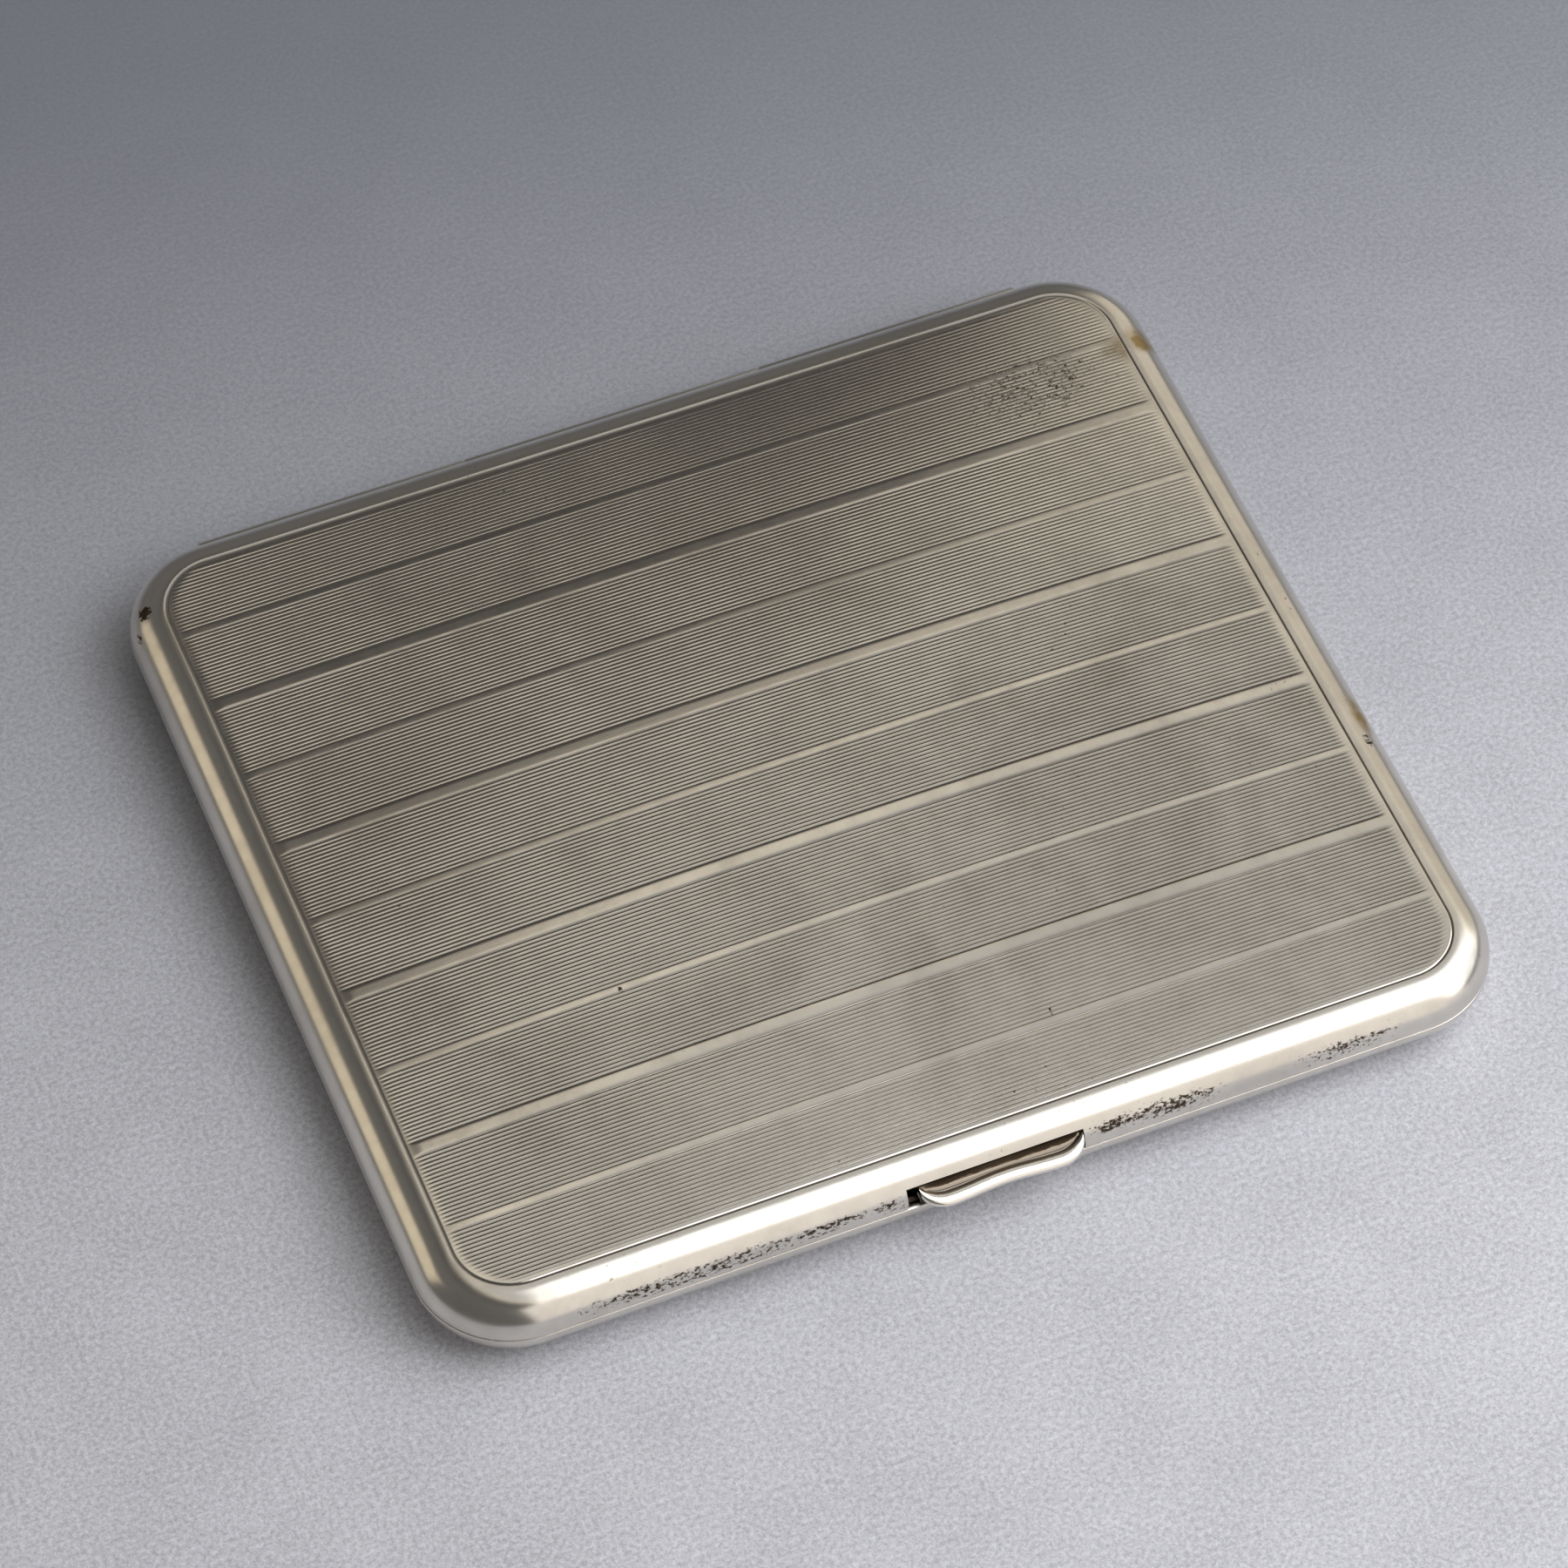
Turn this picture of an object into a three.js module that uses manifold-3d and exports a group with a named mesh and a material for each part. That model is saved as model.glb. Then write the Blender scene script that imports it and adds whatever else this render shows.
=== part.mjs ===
// Slim cigarette case: two pressed shells with crowned faces, a hinge of three tubes along the back
// edge, and a sprung slide catch in the lid's front wall.
// Millimetres, +Z up, front towards -Y. The origin is under the middle of the case, where it rests.
import * as THREE from 'three';
import { mergeVertices } from 'three/addons/utils/BufferGeometryUtils.js';
import Module from 'manifold-3d';

const wasm = await Module();
wasm.setup();

// Case outline and shells
const CASE_LENGTH = 96;
const CASE_WIDTH = 86.5;
const CORNER_RADIUS = 8.5;
const SHEET = 0.5;
const EDGE_WIDTH = 3.25;
const LID_EDGE_HEIGHT = 3.3;
const BASE_EDGE_HEIGHT = 3.3;
const LID_CROWN = 1.1;
const BASE_CROWN = 1.3;
const BASE_FLAT_DEPTH = 0.9;
const SEAM_GAP = 0.1;

// Border line and stripes on the faces
const BORDER_WIDTH = 0.45;
const BORDER_DEPTH = 0.2;
const STRIPE_SPACING = 8.18;
const WIDE_STRIPE = 1.5;
const NARROW_STRIPE = 0.85;
const STRIPE_RISE = 0.1;
const STRIPE_BEVEL = 0.15;
const STRIPE_MARGIN = 1.2;

// Hinge
const HINGE_TUBE_RADIUS = 1;
const HINGE_PIN_RADIUS = 0.5;
const HINGE_PIN_CLEARANCE = 0.1;
const HINGE_MIDDLE_LENGTH = 28;
const HINGE_END_MARGIN = 0.5;
const HINGE_TUBE_GAP = 0.15;
const HINGE_SOLDER_GAP = 0.05;
const HINGE_RUNNING_GAP = 0.2;

// Bezel strip that lines the lid up with the base
const BEZEL_SHEET = 0.5;
const BEZEL_DEPTH = 1.1;
const BEZEL_RISE = 0.9;
const BEZEL_LID_CLEARANCE = 0.15;
const BEZEL_BACK_MARGIN = 12.5;
const BEZEL_NOTCH_DROP = 0.15;
const BEZEL_NOTCH_MARGIN = 1;
const SOLDER_GAP = 0.05;

// Slide bar of the catch
const BAR_SHEET = 0.5;
const BAR_HEIGHT = 1.55;
const BAR_LEFT_REACH = 16;
const BAR_RIGHT_REACH = 13.2;
const BAR_CLEARANCE = 0.2;
const HOOK_WIDTH = 1.2;
const TOE_LENGTH = 1.2;
const TOE_TOP = -0.75;
const TOE_THICKNESS = 0.55;

// Keeper on the base
const CATCH_CLEARANCE = 0.3;
const KEEPER_NOSE_LENGTH = 1.2;
const KEEPER_NOSE_GAP = 0.2;
const KEEPER_POST_WIDTH = 1.3;
const KEEPER_TOP_DROP = 0.1;

// Guides and return spring of the slide
const GUIDE_SHEET = 0.3;
const GUIDE_WIDTH = 2.5;
const GUIDE_CLEARANCE = 0.1;
const GUIDE_HEADROOM = 0.5;
const LEFT_GUIDE_MARGIN = 3;
const RIGHT_GUIDE_MARGIN = 1.2;
const SPRING_LENGTH = 4.5;
const SPRING_BOW = 1.6;
const SPRING_SHEET = 0.25;
const SPRING_MARGIN = 0.2;
const SPRING_END_GAP = 0.1;
const SPRING_BLOCK_LENGTH = 1.5;

// Thumb-piece
const THUMB_LENGTH = 14.6;
const THUMB_TRAVEL = 1;
const THUMB_SIDE_GAP = 0.1;
const THUMB_TOP_GAP = 0.1;
const THUMB_BOTTOM_GAP = 0.12;
const THUMB_LIP_REACH = 1.33;
const THUMB_WAIST_REACH = 1.05;
const THUMB_BULGE_SPACING = 9.8;
const THUMB_END_LENGTH = 2.3;
const THUMB_BEAD_RADIUS = 0.3;
const THUMB_BEAD_LIFT = 0.06;
const THUMB_RIVET_SPACING = 7;

// Rivets
const RIVET_RADIUS = 0.5;
const RIVET_HEAD_RADIUS = 0.8;
const RIVET_HEAD_HEIGHT = 0.3;
const RIVET_HEAD_BEVEL = 0.15;
const RIVET_CLEARANCE = 0.06;
const THUMB_RIVET_BITE = 0.5;

// Elastic band and its brackets
const BAND_WIDTH = 8;
const BAND_THICKNESS = 0.7;
const BAND_END_CLEARANCE = 0.2;
const BAND_GAP = 0.05;
const BRACKET_SHEET = 0.3;
const BRACKET_SHELF = 3.9;
const BRACKET_UPSTAND = 0.3;
const BRACKET_EXTRA_WIDTH = 1.2;
const BAND_RIVET_INSET = 2;
const BAND_RIVET_HEAD_RADIUS = 1.3;

// Facets of round forms
const CORNER_STEPS = 6;
const EDGE_STEPS = 6;
const FACE_STEPS = 10;
const PLAIN_FACE_ROWS = 12;
const HINGE_SIDES = 16;
const RIVET_SIDES = 12;
const THUMB_SECTIONS = 22;
const SCOOP_STEPS = 5;
const BEAD_STEPS = 6;
const OVERCUT = 1;

// Places shared by the pieces
const HALF_LENGTH = CASE_LENGTH / 2;
const HALF_WIDTH = CASE_WIDTH / 2;
const BASE_RIM_Z = BASE_FLAT_DEPTH + BASE_EDGE_HEIGHT;
const LID_RIM_Z = BASE_RIM_Z + SEAM_GAP;
const HINGE_Z = BASE_RIM_Z + SEAM_GAP / 2;
const HINGE_HALF = HALF_LENGTH - CORNER_RADIUS - HINGE_END_MARGIN;
const FACE_INSET = EDGE_WIDTH + BORDER_WIDTH;
const BEZEL_INSET = Math.max(
  innerFaceInset(BEZEL_DEPTH, BASE_EDGE_HEIGHT) + SOLDER_GAP,
  innerFaceInset(BEZEL_RISE, LID_EDGE_HEIGHT) + BEZEL_LID_CLEARANCE,
);
const BEZEL_INNER_INSET = BEZEL_INSET + BEZEL_SHEET;
const LID_CEILING = LID_EDGE_HEIGHT - SHEET;
const GUIDE_TOP = LID_CEILING - GUIDE_HEADROOM;
const BAR_TOP = GUIDE_TOP - GUIDE_SHEET - GUIDE_CLEARANCE;
const BAR_BOTTOM = BAR_TOP - BAR_HEIGHT;
const BAR_FRONT_INSET = Math.max(
  innerFaceInset(BAR_TOP, LID_EDGE_HEIGHT) + BAR_CLEARANCE,
  BEZEL_INNER_INSET + BAR_CLEARANCE,
);
const BAR_BACK_INSET = BAR_FRONT_INSET + BAR_SHEET;
const NOTCH_TOP = BAR_TOP + THUMB_TOP_GAP;
const NOTCH_HALF = (THUMB_LENGTH + THUMB_TRAVEL) / 2 + THUMB_SIDE_GAP;
const THUMB_MIDDLE = THUMB_TRAVEL / 2;
const SPRING_LEFT = -BAR_LEFT_REACH - SPRING_LENGTH;
const HOOK_LEFT = BAR_RIGHT_REACH - HOOK_WIDTH;
const LEFT_GUIDE_MIDDLE = LEFT_GUIDE_MARGIN + GUIDE_WIDTH / 2 - BAR_LEFT_REACH;
const RIGHT_GUIDE_MIDDLE = HOOK_LEFT - RIGHT_GUIDE_MARGIN - GUIDE_WIDTH / 2;
const TOE_RIGHT = BAR_RIGHT_REACH + TOE_LENGTH;
const KEEPER_LEFT = TOE_RIGHT + CATCH_CLEARANCE;
const KEEPER_RIGHT = KEEPER_LEFT + KEEPER_NOSE_LENGTH + KEEPER_POST_WIDTH;

// Distance of a shell's inner face from the outline, at a height above its rim
function innerFaceInset(height, edgeHeight) {
  const run = EDGE_WIDTH - SHEET;
  const drop = edgeHeight - SHEET;
  return SHEET + run * (1 - Math.sqrt(1 - (height / drop) ** 2));
}

// Distance of a shell's outer face from the outline, at a height above its rim
function outerFaceInset(height, edgeHeight) {
  return EDGE_WIDTH * (1 - Math.sqrt(1 - (height / edgeHeight) ** 2));
}

// Joining and cutting of closed meshes
function toSolid(geometry) {
  const bare = geometry.clone();
  bare.deleteAttribute('normal');
  bare.deleteAttribute('uv');
  const merged = mergeVertices(bare, 1e-5);
  const vertProperties = new Float32Array(merged.attributes.position.array);
  const triVerts = new Uint32Array(merged.index.array);
  return new wasm.Manifold(new wasm.Mesh({ numProp: 3, vertProperties, triVerts }));
}

function toGeometry(solid) {
  const { vertProperties, triVerts } = solid.getMesh();
  const geometry = new THREE.BufferGeometry();
  geometry.setAttribute('position', new THREE.BufferAttribute(vertProperties, 3));
  geometry.setIndex(new THREE.BufferAttribute(triVerts, 1));
  geometry.computeVertexNormals();
  return geometry;
}

function cut(body, ...tools) {
  let solid = toSolid(body);
  for (const tool of tools) {
    solid = solid.subtract(toSolid(tool));
  }
  return toGeometry(solid);
}

function join(body, other) {
  return toGeometry(toSolid(body).add(toSolid(other)));
}

function fromPoints(points, faces) {
  const geometry = new THREE.BufferGeometry();
  geometry.setFromPoints(points);
  geometry.setIndex(faces);
  geometry.computeVertexNormals();
  return geometry;
}

// Box between two corners
function box(x0, x1, y0, y1, z0, z1) {
  const geometry = new THREE.BoxGeometry(x1 - x0, y1 - y0, z1 - z0);
  geometry.translate((x0 + x1) / 2, (y0 + y1) / 2, (z0 + z1) / 2);
  return geometry;
}

// Rounded rectangle of points at one height, anticlockwise from above
function roundedLoop(halfX, halfY, radius, z) {
  const points = [];
  for (let corner = 0; corner < 4; corner += 1) {
    const signX = corner === 0 || corner === 3 ? 1 : -1;
    const signY = corner < 2 ? 1 : -1;
    for (let step = 0; step <= CORNER_STEPS; step += 1) {
      const angle = ((corner + step / CORNER_STEPS) * Math.PI) / 2;
      const x = signX * (halfX - radius) + radius * Math.cos(angle);
      const y = signY * (halfY - radius) + radius * Math.sin(angle);
      points.push(new THREE.Vector3(x, y, z));
    }
  }
  return points;
}

// Outline of the case, drawn in by an inset
function outlineLoop(inset, z) {
  return roundedLoop(HALF_LENGTH - inset, HALF_WIDTH - inset, CORNER_RADIUS - inset, z);
}

// Closed body through a stack of loops with equal counts, lowest first
function loft(loops) {
  const count = loops[0].length;
  const points = loops.flat();
  const faces = [];
  for (let ring = 0; ring + 1 < loops.length; ring += 1) {
    for (let place = 0; place < count; place += 1) {
      const next = (place + 1) % count;
      const a = ring * count + place;
      const b = ring * count + next;
      faces.push(a, b, b + count, a, b + count, a + count);
    }
  }
  const top = (loops.length - 1) * count;
  const lowMiddle = points.push(new THREE.Vector3(0, 0, loops[0][0].z)) - 1;
  const highMiddle = points.push(new THREE.Vector3(0, 0, loops.at(-1)[0].z)) - 1;
  for (let place = 0; place < count; place += 1) {
    const next = (place + 1) % count;
    faces.push(lowMiddle, next, place);
    faces.push(highMiddle, top + place, top + next);
  }
  return fromPoints(points, faces);
}

// Half-round edge of a shell, rim at height 0, with the slope into the border line
function edgeBody(edgeHeight) {
  const loops = [];
  for (let step = 0; step <= EDGE_STEPS; step += 1) {
    const angle = ((step / EDGE_STEPS) * Math.PI) / 2;
    const inset = EDGE_WIDTH * (1 - Math.cos(angle));
    loops.push(outlineLoop(inset, edgeHeight * Math.sin(angle)));
  }
  loops.push(outlineLoop(EDGE_WIDTH + BORDER_WIDTH / 2, edgeHeight - BORDER_DEPTH));
  return loft(loops);
}

// Space inside the half-round edge, one sheet in from it
function edgeSpace(edgeHeight) {
  const loops = [outlineLoop(SHEET, -OVERCUT)];
  for (let step = 0; step <= EDGE_STEPS; step += 1) {
    const angle = ((step / EDGE_STEPS) * Math.PI) / 2;
    const inset = SHEET + (EDGE_WIDTH - SHEET) * (1 - Math.cos(angle));
    loops.push(outlineLoop(inset, (edgeHeight - SHEET) * Math.sin(angle)));
  }
  return loft(loops);
}

// Half size and corner radius of the face inside the border line
const FACE_HALF_X = HALF_LENGTH - FACE_INSET;
const FACE_HALF_Y = HALF_WIDTH - FACE_INSET;
const FACE_RADIUS = CORNER_RADIUS - FACE_INSET;

function domeAt(x, y, crown) {
  return crown * (1 - (x / FACE_HALF_X) ** 2) * (1 - (y / FACE_HALF_Y) ** 2);
}

// Stripes across the width, wide and narrow in turn, with a narrow one in the middle
function stripes() {
  const list = [];
  const reach = Math.floor((FACE_HALF_Y - STRIPE_MARGIN - WIDE_STRIPE) / STRIPE_SPACING);
  for (let place = -reach; place <= reach; place += 1) {
    const width = place % 2 === 0 ? NARROW_STRIPE : WIDE_STRIPE;
    list.push({ middle: place * STRIPE_SPACING, half: width / 2 });
  }
  return list;
}

function stripeRise(x, y, reach) {
  const onStripe = stripes().some(({ middle, half }) => Math.abs(y - middle) < half - STRIPE_BEVEL / 2);
  const clearOfEnd = Math.abs(x) < reach - STRIPE_MARGIN / 2;
  return onStripe && clearOfEnd ? STRIPE_RISE : 0;
}

// Rows of a face: its round corners, and either the stripes' edges or an even spacing
function faceRows(striped) {
  const rows = [];
  for (let step = 0; step <= CORNER_STEPS; step += 1) {
    const angle = ((step / CORNER_STEPS) * Math.PI) / 2;
    const y = FACE_HALF_Y - FACE_RADIUS + FACE_RADIUS * Math.sin(angle);
    rows.push(-y, y);
  }
  if (striped) {
    for (const { middle, half } of stripes()) {
      rows.push(middle - half, middle - half + STRIPE_BEVEL);
      rows.push(middle + half - STRIPE_BEVEL, middle + half);
    }
  } else {
    const straight = FACE_HALF_Y - FACE_RADIUS;
    for (let row = 1; row < PLAIN_FACE_ROWS; row += 1) {
      rows.push(straight * ((2 * row) / PLAIN_FACE_ROWS - 1));
    }
  }
  return rows.sort((a, b) => a - b);
}

// Places along one row: its ends, and even steps inside the stripes' end margin
function rowPlaces(reach) {
  const inner = reach - STRIPE_MARGIN;
  const places = [-reach];
  for (let step = 0; step <= FACE_STEPS; step += 1) {
    places.push(inner * ((2 * step) / FACE_STEPS - 1));
  }
  places.push(reach);
  return places;
}

// Crowned face with a skirt, standing on the edge body; rows run along the stripes
function faceBody(rimZ, heightAt, striped, skirtSpread, skirtDepth) {
  const rows = faceRows(striped);
  const points = [];
  let columns = 0;
  for (const y of rows) {
    const over = Math.max(0, Math.abs(y) - FACE_HALF_Y + FACE_RADIUS);
    const reach = FACE_HALF_X - FACE_RADIUS + Math.sqrt(Math.max(0, FACE_RADIUS ** 2 - over ** 2));
    const places = rowPlaces(reach);
    columns = places.length;
    for (const x of places) {
      points.push(new THREE.Vector3(x, y, rimZ + heightAt(x, y, reach)));
    }
  }
  const faces = [];
  for (let row = 0; row + 1 < rows.length; row += 1) {
    for (let column = 0; column + 1 < columns; column += 1) {
      const a = row * columns + column;
      const d = a + columns;
      faces.push(a, a + 1, d + 1, a, d + 1, d);
    }
  }
  const rim = [];
  const lastRow = (rows.length - 1) * columns;
  for (let column = 0; column < columns; column += 1) {
    rim.push(column);
  }
  for (let row = 1; row < rows.length; row += 1) {
    rim.push(row * columns + columns - 1);
  }
  for (let column = columns - 2; column >= 0; column -= 1) {
    rim.push(lastRow + column);
  }
  for (let row = rows.length - 2; row > 0; row -= 1) {
    rim.push(row * columns);
  }
  const skirt = points.length;
  for (const index of rim) {
    const { x, y } = points[index];
    const alongX = Math.max(0, Math.abs(x) - FACE_HALF_X + FACE_RADIUS);
    const alongY = Math.max(0, Math.abs(y) - FACE_HALF_Y + FACE_RADIUS);
    const length = Math.hypot(alongX, alongY);
    const outX = (Math.sign(x) * alongX * skirtSpread) / length;
    const outY = (Math.sign(y) * alongY * skirtSpread) / length;
    points.push(new THREE.Vector3(x + outX, y + outY, rimZ - skirtDepth));
  }
  const middle = points.push(new THREE.Vector3(0, 0, rimZ - skirtDepth)) - 1;
  for (let place = 0; place < rim.length; place += 1) {
    const next = (place + 1) % rim.length;
    faces.push(skirt + place, skirt + next, rim[next], skirt + place, rim[next], rim[place]);
    faces.push(middle, skirt + next, skirt + place);
  }
  return fromPoints(points, faces);
}

// Pressed shell with its rim at height 0 and its face above
function pressedShell(edgeHeight, domeHeight, outerHeight, striped) {
  const skirtDepth = BORDER_DEPTH + (SHEET - BORDER_DEPTH) / 2;
  const outerFace = faceBody(edgeHeight, outerHeight, striped, BORDER_WIDTH / 4, skirtDepth);
  const outside = join(edgeBody(edgeHeight), outerFace);
  const innerFace = faceBody(edgeHeight - SHEET, domeHeight, false, 0, skirtDepth);
  const inside = join(edgeSpace(edgeHeight), innerFace);
  return cut(outside, inside);
}

// Round bar along the hinge line
function hingeBar(radius, from, to) {
  const geometry = new THREE.CylinderGeometry(radius, radius, to - from, HINGE_SIDES);
  geometry.rotateZ(Math.PI / 2);
  geometry.translate((from + to) / 2, HALF_WIDTH, HINGE_Z);
  return geometry;
}

function hingeTube(from, to) {
  const bore = HINGE_PIN_RADIUS + HINGE_PIN_CLEARANCE;
  return cut(hingeBar(HINGE_TUBE_RADIUS, from, to), hingeBar(bore, from - OVERCUT, to + OVERCUT));
}

// Stretches of the hinge that each shell's tubes take up
const HINGE_SPLIT = HINGE_MIDDLE_LENGTH / 2 + HINGE_TUBE_GAP;
const BASE_TUBE_STRETCHES = [[-HINGE_HALF, -HINGE_SPLIT], [HINGE_SPLIT, HINGE_HALF]];
const LID_TUBE_STRETCH = [-HINGE_MIDDLE_LENGTH / 2, HINGE_MIDDLE_LENGTH / 2];

// Room in a shell's back wall for the tubes soldered to it and for those that turn in it
function hingeSeat([from, to]) {
  const gap = HINGE_SOLDER_GAP;
  return hingeBar(HINGE_TUBE_RADIUS + gap, from - gap, to + gap);
}

function hingeRoom([from, to]) {
  const gap = HINGE_RUNNING_GAP;
  return hingeBar(HINGE_TUBE_RADIUS + gap, from - HINGE_TUBE_GAP, to + HINGE_TUBE_GAP);
}

function lidShell() {
  const dome = (x, y) => domeAt(x, y, LID_CROWN);
  const striped = (x, y, reach) => dome(x, y) + stripeRise(x, y, reach);
  const shell = pressedShell(LID_EDGE_HEIGHT, dome, striped, true);
  shell.translate(0, 0, LID_RIM_Z);
  const front = -HALF_WIDTH - OVERCUT;
  const back = -HALF_WIDTH + EDGE_WIDTH;
  const top = LID_RIM_Z + NOTCH_TOP;
  const notch = box(-NOTCH_HALF, NOTCH_HALF, front, back, LID_RIM_Z - OVERCUT, top);
  return cut(shell, notch, hingeSeat(LID_TUBE_STRETCH), ...BASE_TUBE_STRETCHES.map(hingeRoom));
}

function baseShell() {
  const dome = (x, y) => Math.min(BASE_FLAT_DEPTH, domeAt(x, y, BASE_CROWN));
  const shell = pressedShell(BASE_EDGE_HEIGHT, dome, dome, false);
  shell.rotateX(Math.PI);
  shell.translate(0, 0, BASE_RIM_Z);
  return cut(shell, hingeRoom(LID_TUBE_STRETCH), ...BASE_TUBE_STRETCHES.map(hingeSeat));
}

// Strip inside the base wall on the front and the two ends, lowered where the catch works
function bezel() {
  const low = BASE_RIM_Z - BEZEL_DEPTH;
  const high = BASE_RIM_Z + BEZEL_RISE;
  const outside = loft([outlineLoop(BEZEL_INSET, low), outlineLoop(BEZEL_INSET, high)]);
  const innerLow = outlineLoop(BEZEL_INNER_INSET, low - OVERCUT);
  const inside = loft([innerLow, outlineLoop(BEZEL_INNER_INSET, high + OVERCUT)]);
  const back = HALF_WIDTH - BEZEL_BACK_MARGIN;
  const behind = box(-HALF_LENGTH, HALF_LENGTH, back, HALF_WIDTH, low - OVERCUT, high + OVERCUT);
  const left = SPRING_LEFT - SPRING_BLOCK_LENGTH - BEZEL_NOTCH_MARGIN;
  const right = KEEPER_RIGHT + BEZEL_NOTCH_MARGIN;
  const notchFloor = BASE_RIM_Z - BEZEL_NOTCH_DROP;
  const notch = box(left, right, -HALF_WIDTH, -HALF_WIDTH + CORNER_RADIUS, notchFloor, high + OVERCUT);
  return cut(outside, inside, behind, notch);
}

// Plate standing along the front wall, from an outline of [x, height] points
function frontPlate(outline, frontInset, thickness) {
  const shape = new THREE.Shape(outline.map(([x, z]) => new THREE.Vector2(x, z)));
  const geometry = new THREE.ExtrudeGeometry(shape, { depth: thickness, bevelEnabled: false });
  geometry.rotateX(Math.PI / 2);
  geometry.translate(0, -HALF_WIDTH + frontInset + thickness, 0);
  return geometry;
}

// Bar along X, from a section of [inset, height] points behind the front wall
function frontBar(section, from, to) {
  const shape = new THREE.Shape(section.map(([inset, z]) => new THREE.Vector2(inset - HALF_WIDTH, z)));
  const geometry = new THREE.ExtrudeGeometry(shape, { depth: to - from, bevelEnabled: false });
  const alongX = new THREE.Matrix4().makeBasis(
    new THREE.Vector3(0, 1, 0),
    new THREE.Vector3(0, 0, 1),
    new THREE.Vector3(1, 0, 0),
  );
  geometry.applyMatrix4(alongX);
  geometry.translate(from, 0, 0);
  return geometry;
}

const TOE_TOP_Z = BASE_RIM_Z + TOE_TOP;
const TOE_BOTTOM_Z = TOE_TOP_Z - TOE_THICKNESS;
const BAR_TOP_Z = LID_RIM_Z + BAR_TOP;
const BAR_BOTTOM_Z = LID_RIM_Z + BAR_BOTTOM;
const THUMB_RIVET_PLACES = [-1, 1].map((side) => THUMB_MIDDLE + (side * THUMB_RIVET_SPACING) / 2);
const THUMB_RIVET_Z = (BAR_TOP_Z + BAR_BOTTOM_Z) / 2;

// Hole along Y for a thumb rivet
function thumbRivetHole(x) {
  const radius = RIVET_RADIUS + RIVET_CLEARANCE;
  const tip = BAR_FRONT_INSET - SOLDER_GAP - THUMB_RIVET_BITE - RIVET_CLEARANCE;
  const end = BAR_BACK_INSET + OVERCUT;
  const geometry = new THREE.CylinderGeometry(radius, radius, end - tip, RIVET_SIDES);
  geometry.translate(x, -HALF_WIDTH + (tip + end) / 2, THUMB_RIVET_Z);
  return geometry;
}

function slideBar() {
  const outline = [
    [-BAR_LEFT_REACH, BAR_BOTTOM_Z],
    [HOOK_LEFT, BAR_BOTTOM_Z],
    [HOOK_LEFT, TOE_BOTTOM_Z],
    [TOE_RIGHT, TOE_BOTTOM_Z],
    [TOE_RIGHT, TOE_TOP_Z],
    [BAR_RIGHT_REACH, TOE_TOP_Z],
    [BAR_RIGHT_REACH, BAR_TOP_Z],
    [-BAR_LEFT_REACH, BAR_TOP_Z],
  ];
  const bar = frontPlate(outline, BAR_FRONT_INSET, BAR_SHEET);
  return cut(bar, ...THUMB_RIVET_PLACES.map(thumbRivetHole));
}

function catchKeeper() {
  const noseBottom = TOE_TOP_Z + KEEPER_NOSE_GAP;
  const top = BASE_RIM_Z - KEEPER_TOP_DROP;
  const postLeft = KEEPER_LEFT + KEEPER_NOSE_LENGTH;
  const foot = BASE_RIM_Z - BEZEL_DEPTH;
  const outline = [
    [postLeft, foot],
    [KEEPER_RIGHT, foot],
    [KEEPER_RIGHT, top],
    [KEEPER_LEFT, top],
    [KEEPER_LEFT, noseBottom],
    [postLeft, noseBottom],
  ];
  const front = BEZEL_INNER_INSET + SOLDER_GAP;
  return frontPlate(outline, front, BAR_BACK_INSET - front);
}

// Folded clip round the back of the slide bar, open towards the front wall
function slideGuide(middle) {
  const webFront = BAR_BACK_INSET + GUIDE_CLEARANCE;
  const webBack = webFront + GUIDE_SHEET;
  const topZ = LID_RIM_Z + GUIDE_TOP;
  const topFront = innerFaceInset(GUIDE_TOP, LID_EDGE_HEIGHT) + SOLDER_GAP;
  const bottomZ = BAR_BOTTOM_Z - GUIDE_CLEARANCE;
  const section = [
    [BAR_FRONT_INSET, bottomZ - GUIDE_SHEET],
    [webBack, bottomZ - GUIDE_SHEET],
    [webBack, topZ],
    [topFront, topZ],
    [topFront, topZ - GUIDE_SHEET],
    [webFront, topZ - GUIDE_SHEET],
    [webFront, bottomZ],
    [BAR_FRONT_INSET, bottomZ],
  ];
  return frontBar(section, middle - GUIDE_WIDTH / 2, middle + GUIDE_WIDTH / 2);
}

function springBlock() {
  const front = -HALF_WIDTH + innerFaceInset(BAR_TOP, LID_EDGE_HEIGHT) + SOLDER_GAP;
  const left = SPRING_LEFT - SPRING_BLOCK_LENGTH;
  return box(left, SPRING_LEFT, front, -HALF_WIDTH + BAR_BACK_INSET, BAR_BOTTOM_Z, BAR_TOP_Z);
}

// Leaf bent to a V between the block and the end of the bar
function returnSpring() {
  const left = SPRING_LEFT + SPRING_END_GAP;
  const right = -BAR_LEFT_REACH - SPRING_END_GAP;
  const middle = (left + right) / 2;
  const front = -HALF_WIDTH + BAR_FRONT_INSET;
  const slope = SPRING_BOW / (middle - left);
  const across = SPRING_SHEET * Math.hypot(1, 1 / slope);
  const rise = SPRING_SHEET * Math.hypot(1, slope);
  const shape = new THREE.Shape([
    new THREE.Vector2(left, front),
    new THREE.Vector2(left + across, front),
    new THREE.Vector2(middle, front + SPRING_BOW - rise),
    new THREE.Vector2(right - across, front),
    new THREE.Vector2(right, front),
    new THREE.Vector2(middle, front + SPRING_BOW),
  ]);
  const height = BAR_HEIGHT - 2 * SPRING_MARGIN;
  const geometry = new THREE.ExtrudeGeometry(shape, { depth: height, bevelEnabled: false });
  geometry.translate(0, 0, BAR_BOTTOM_Z + SPRING_MARGIN);
  return geometry;
}

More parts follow.
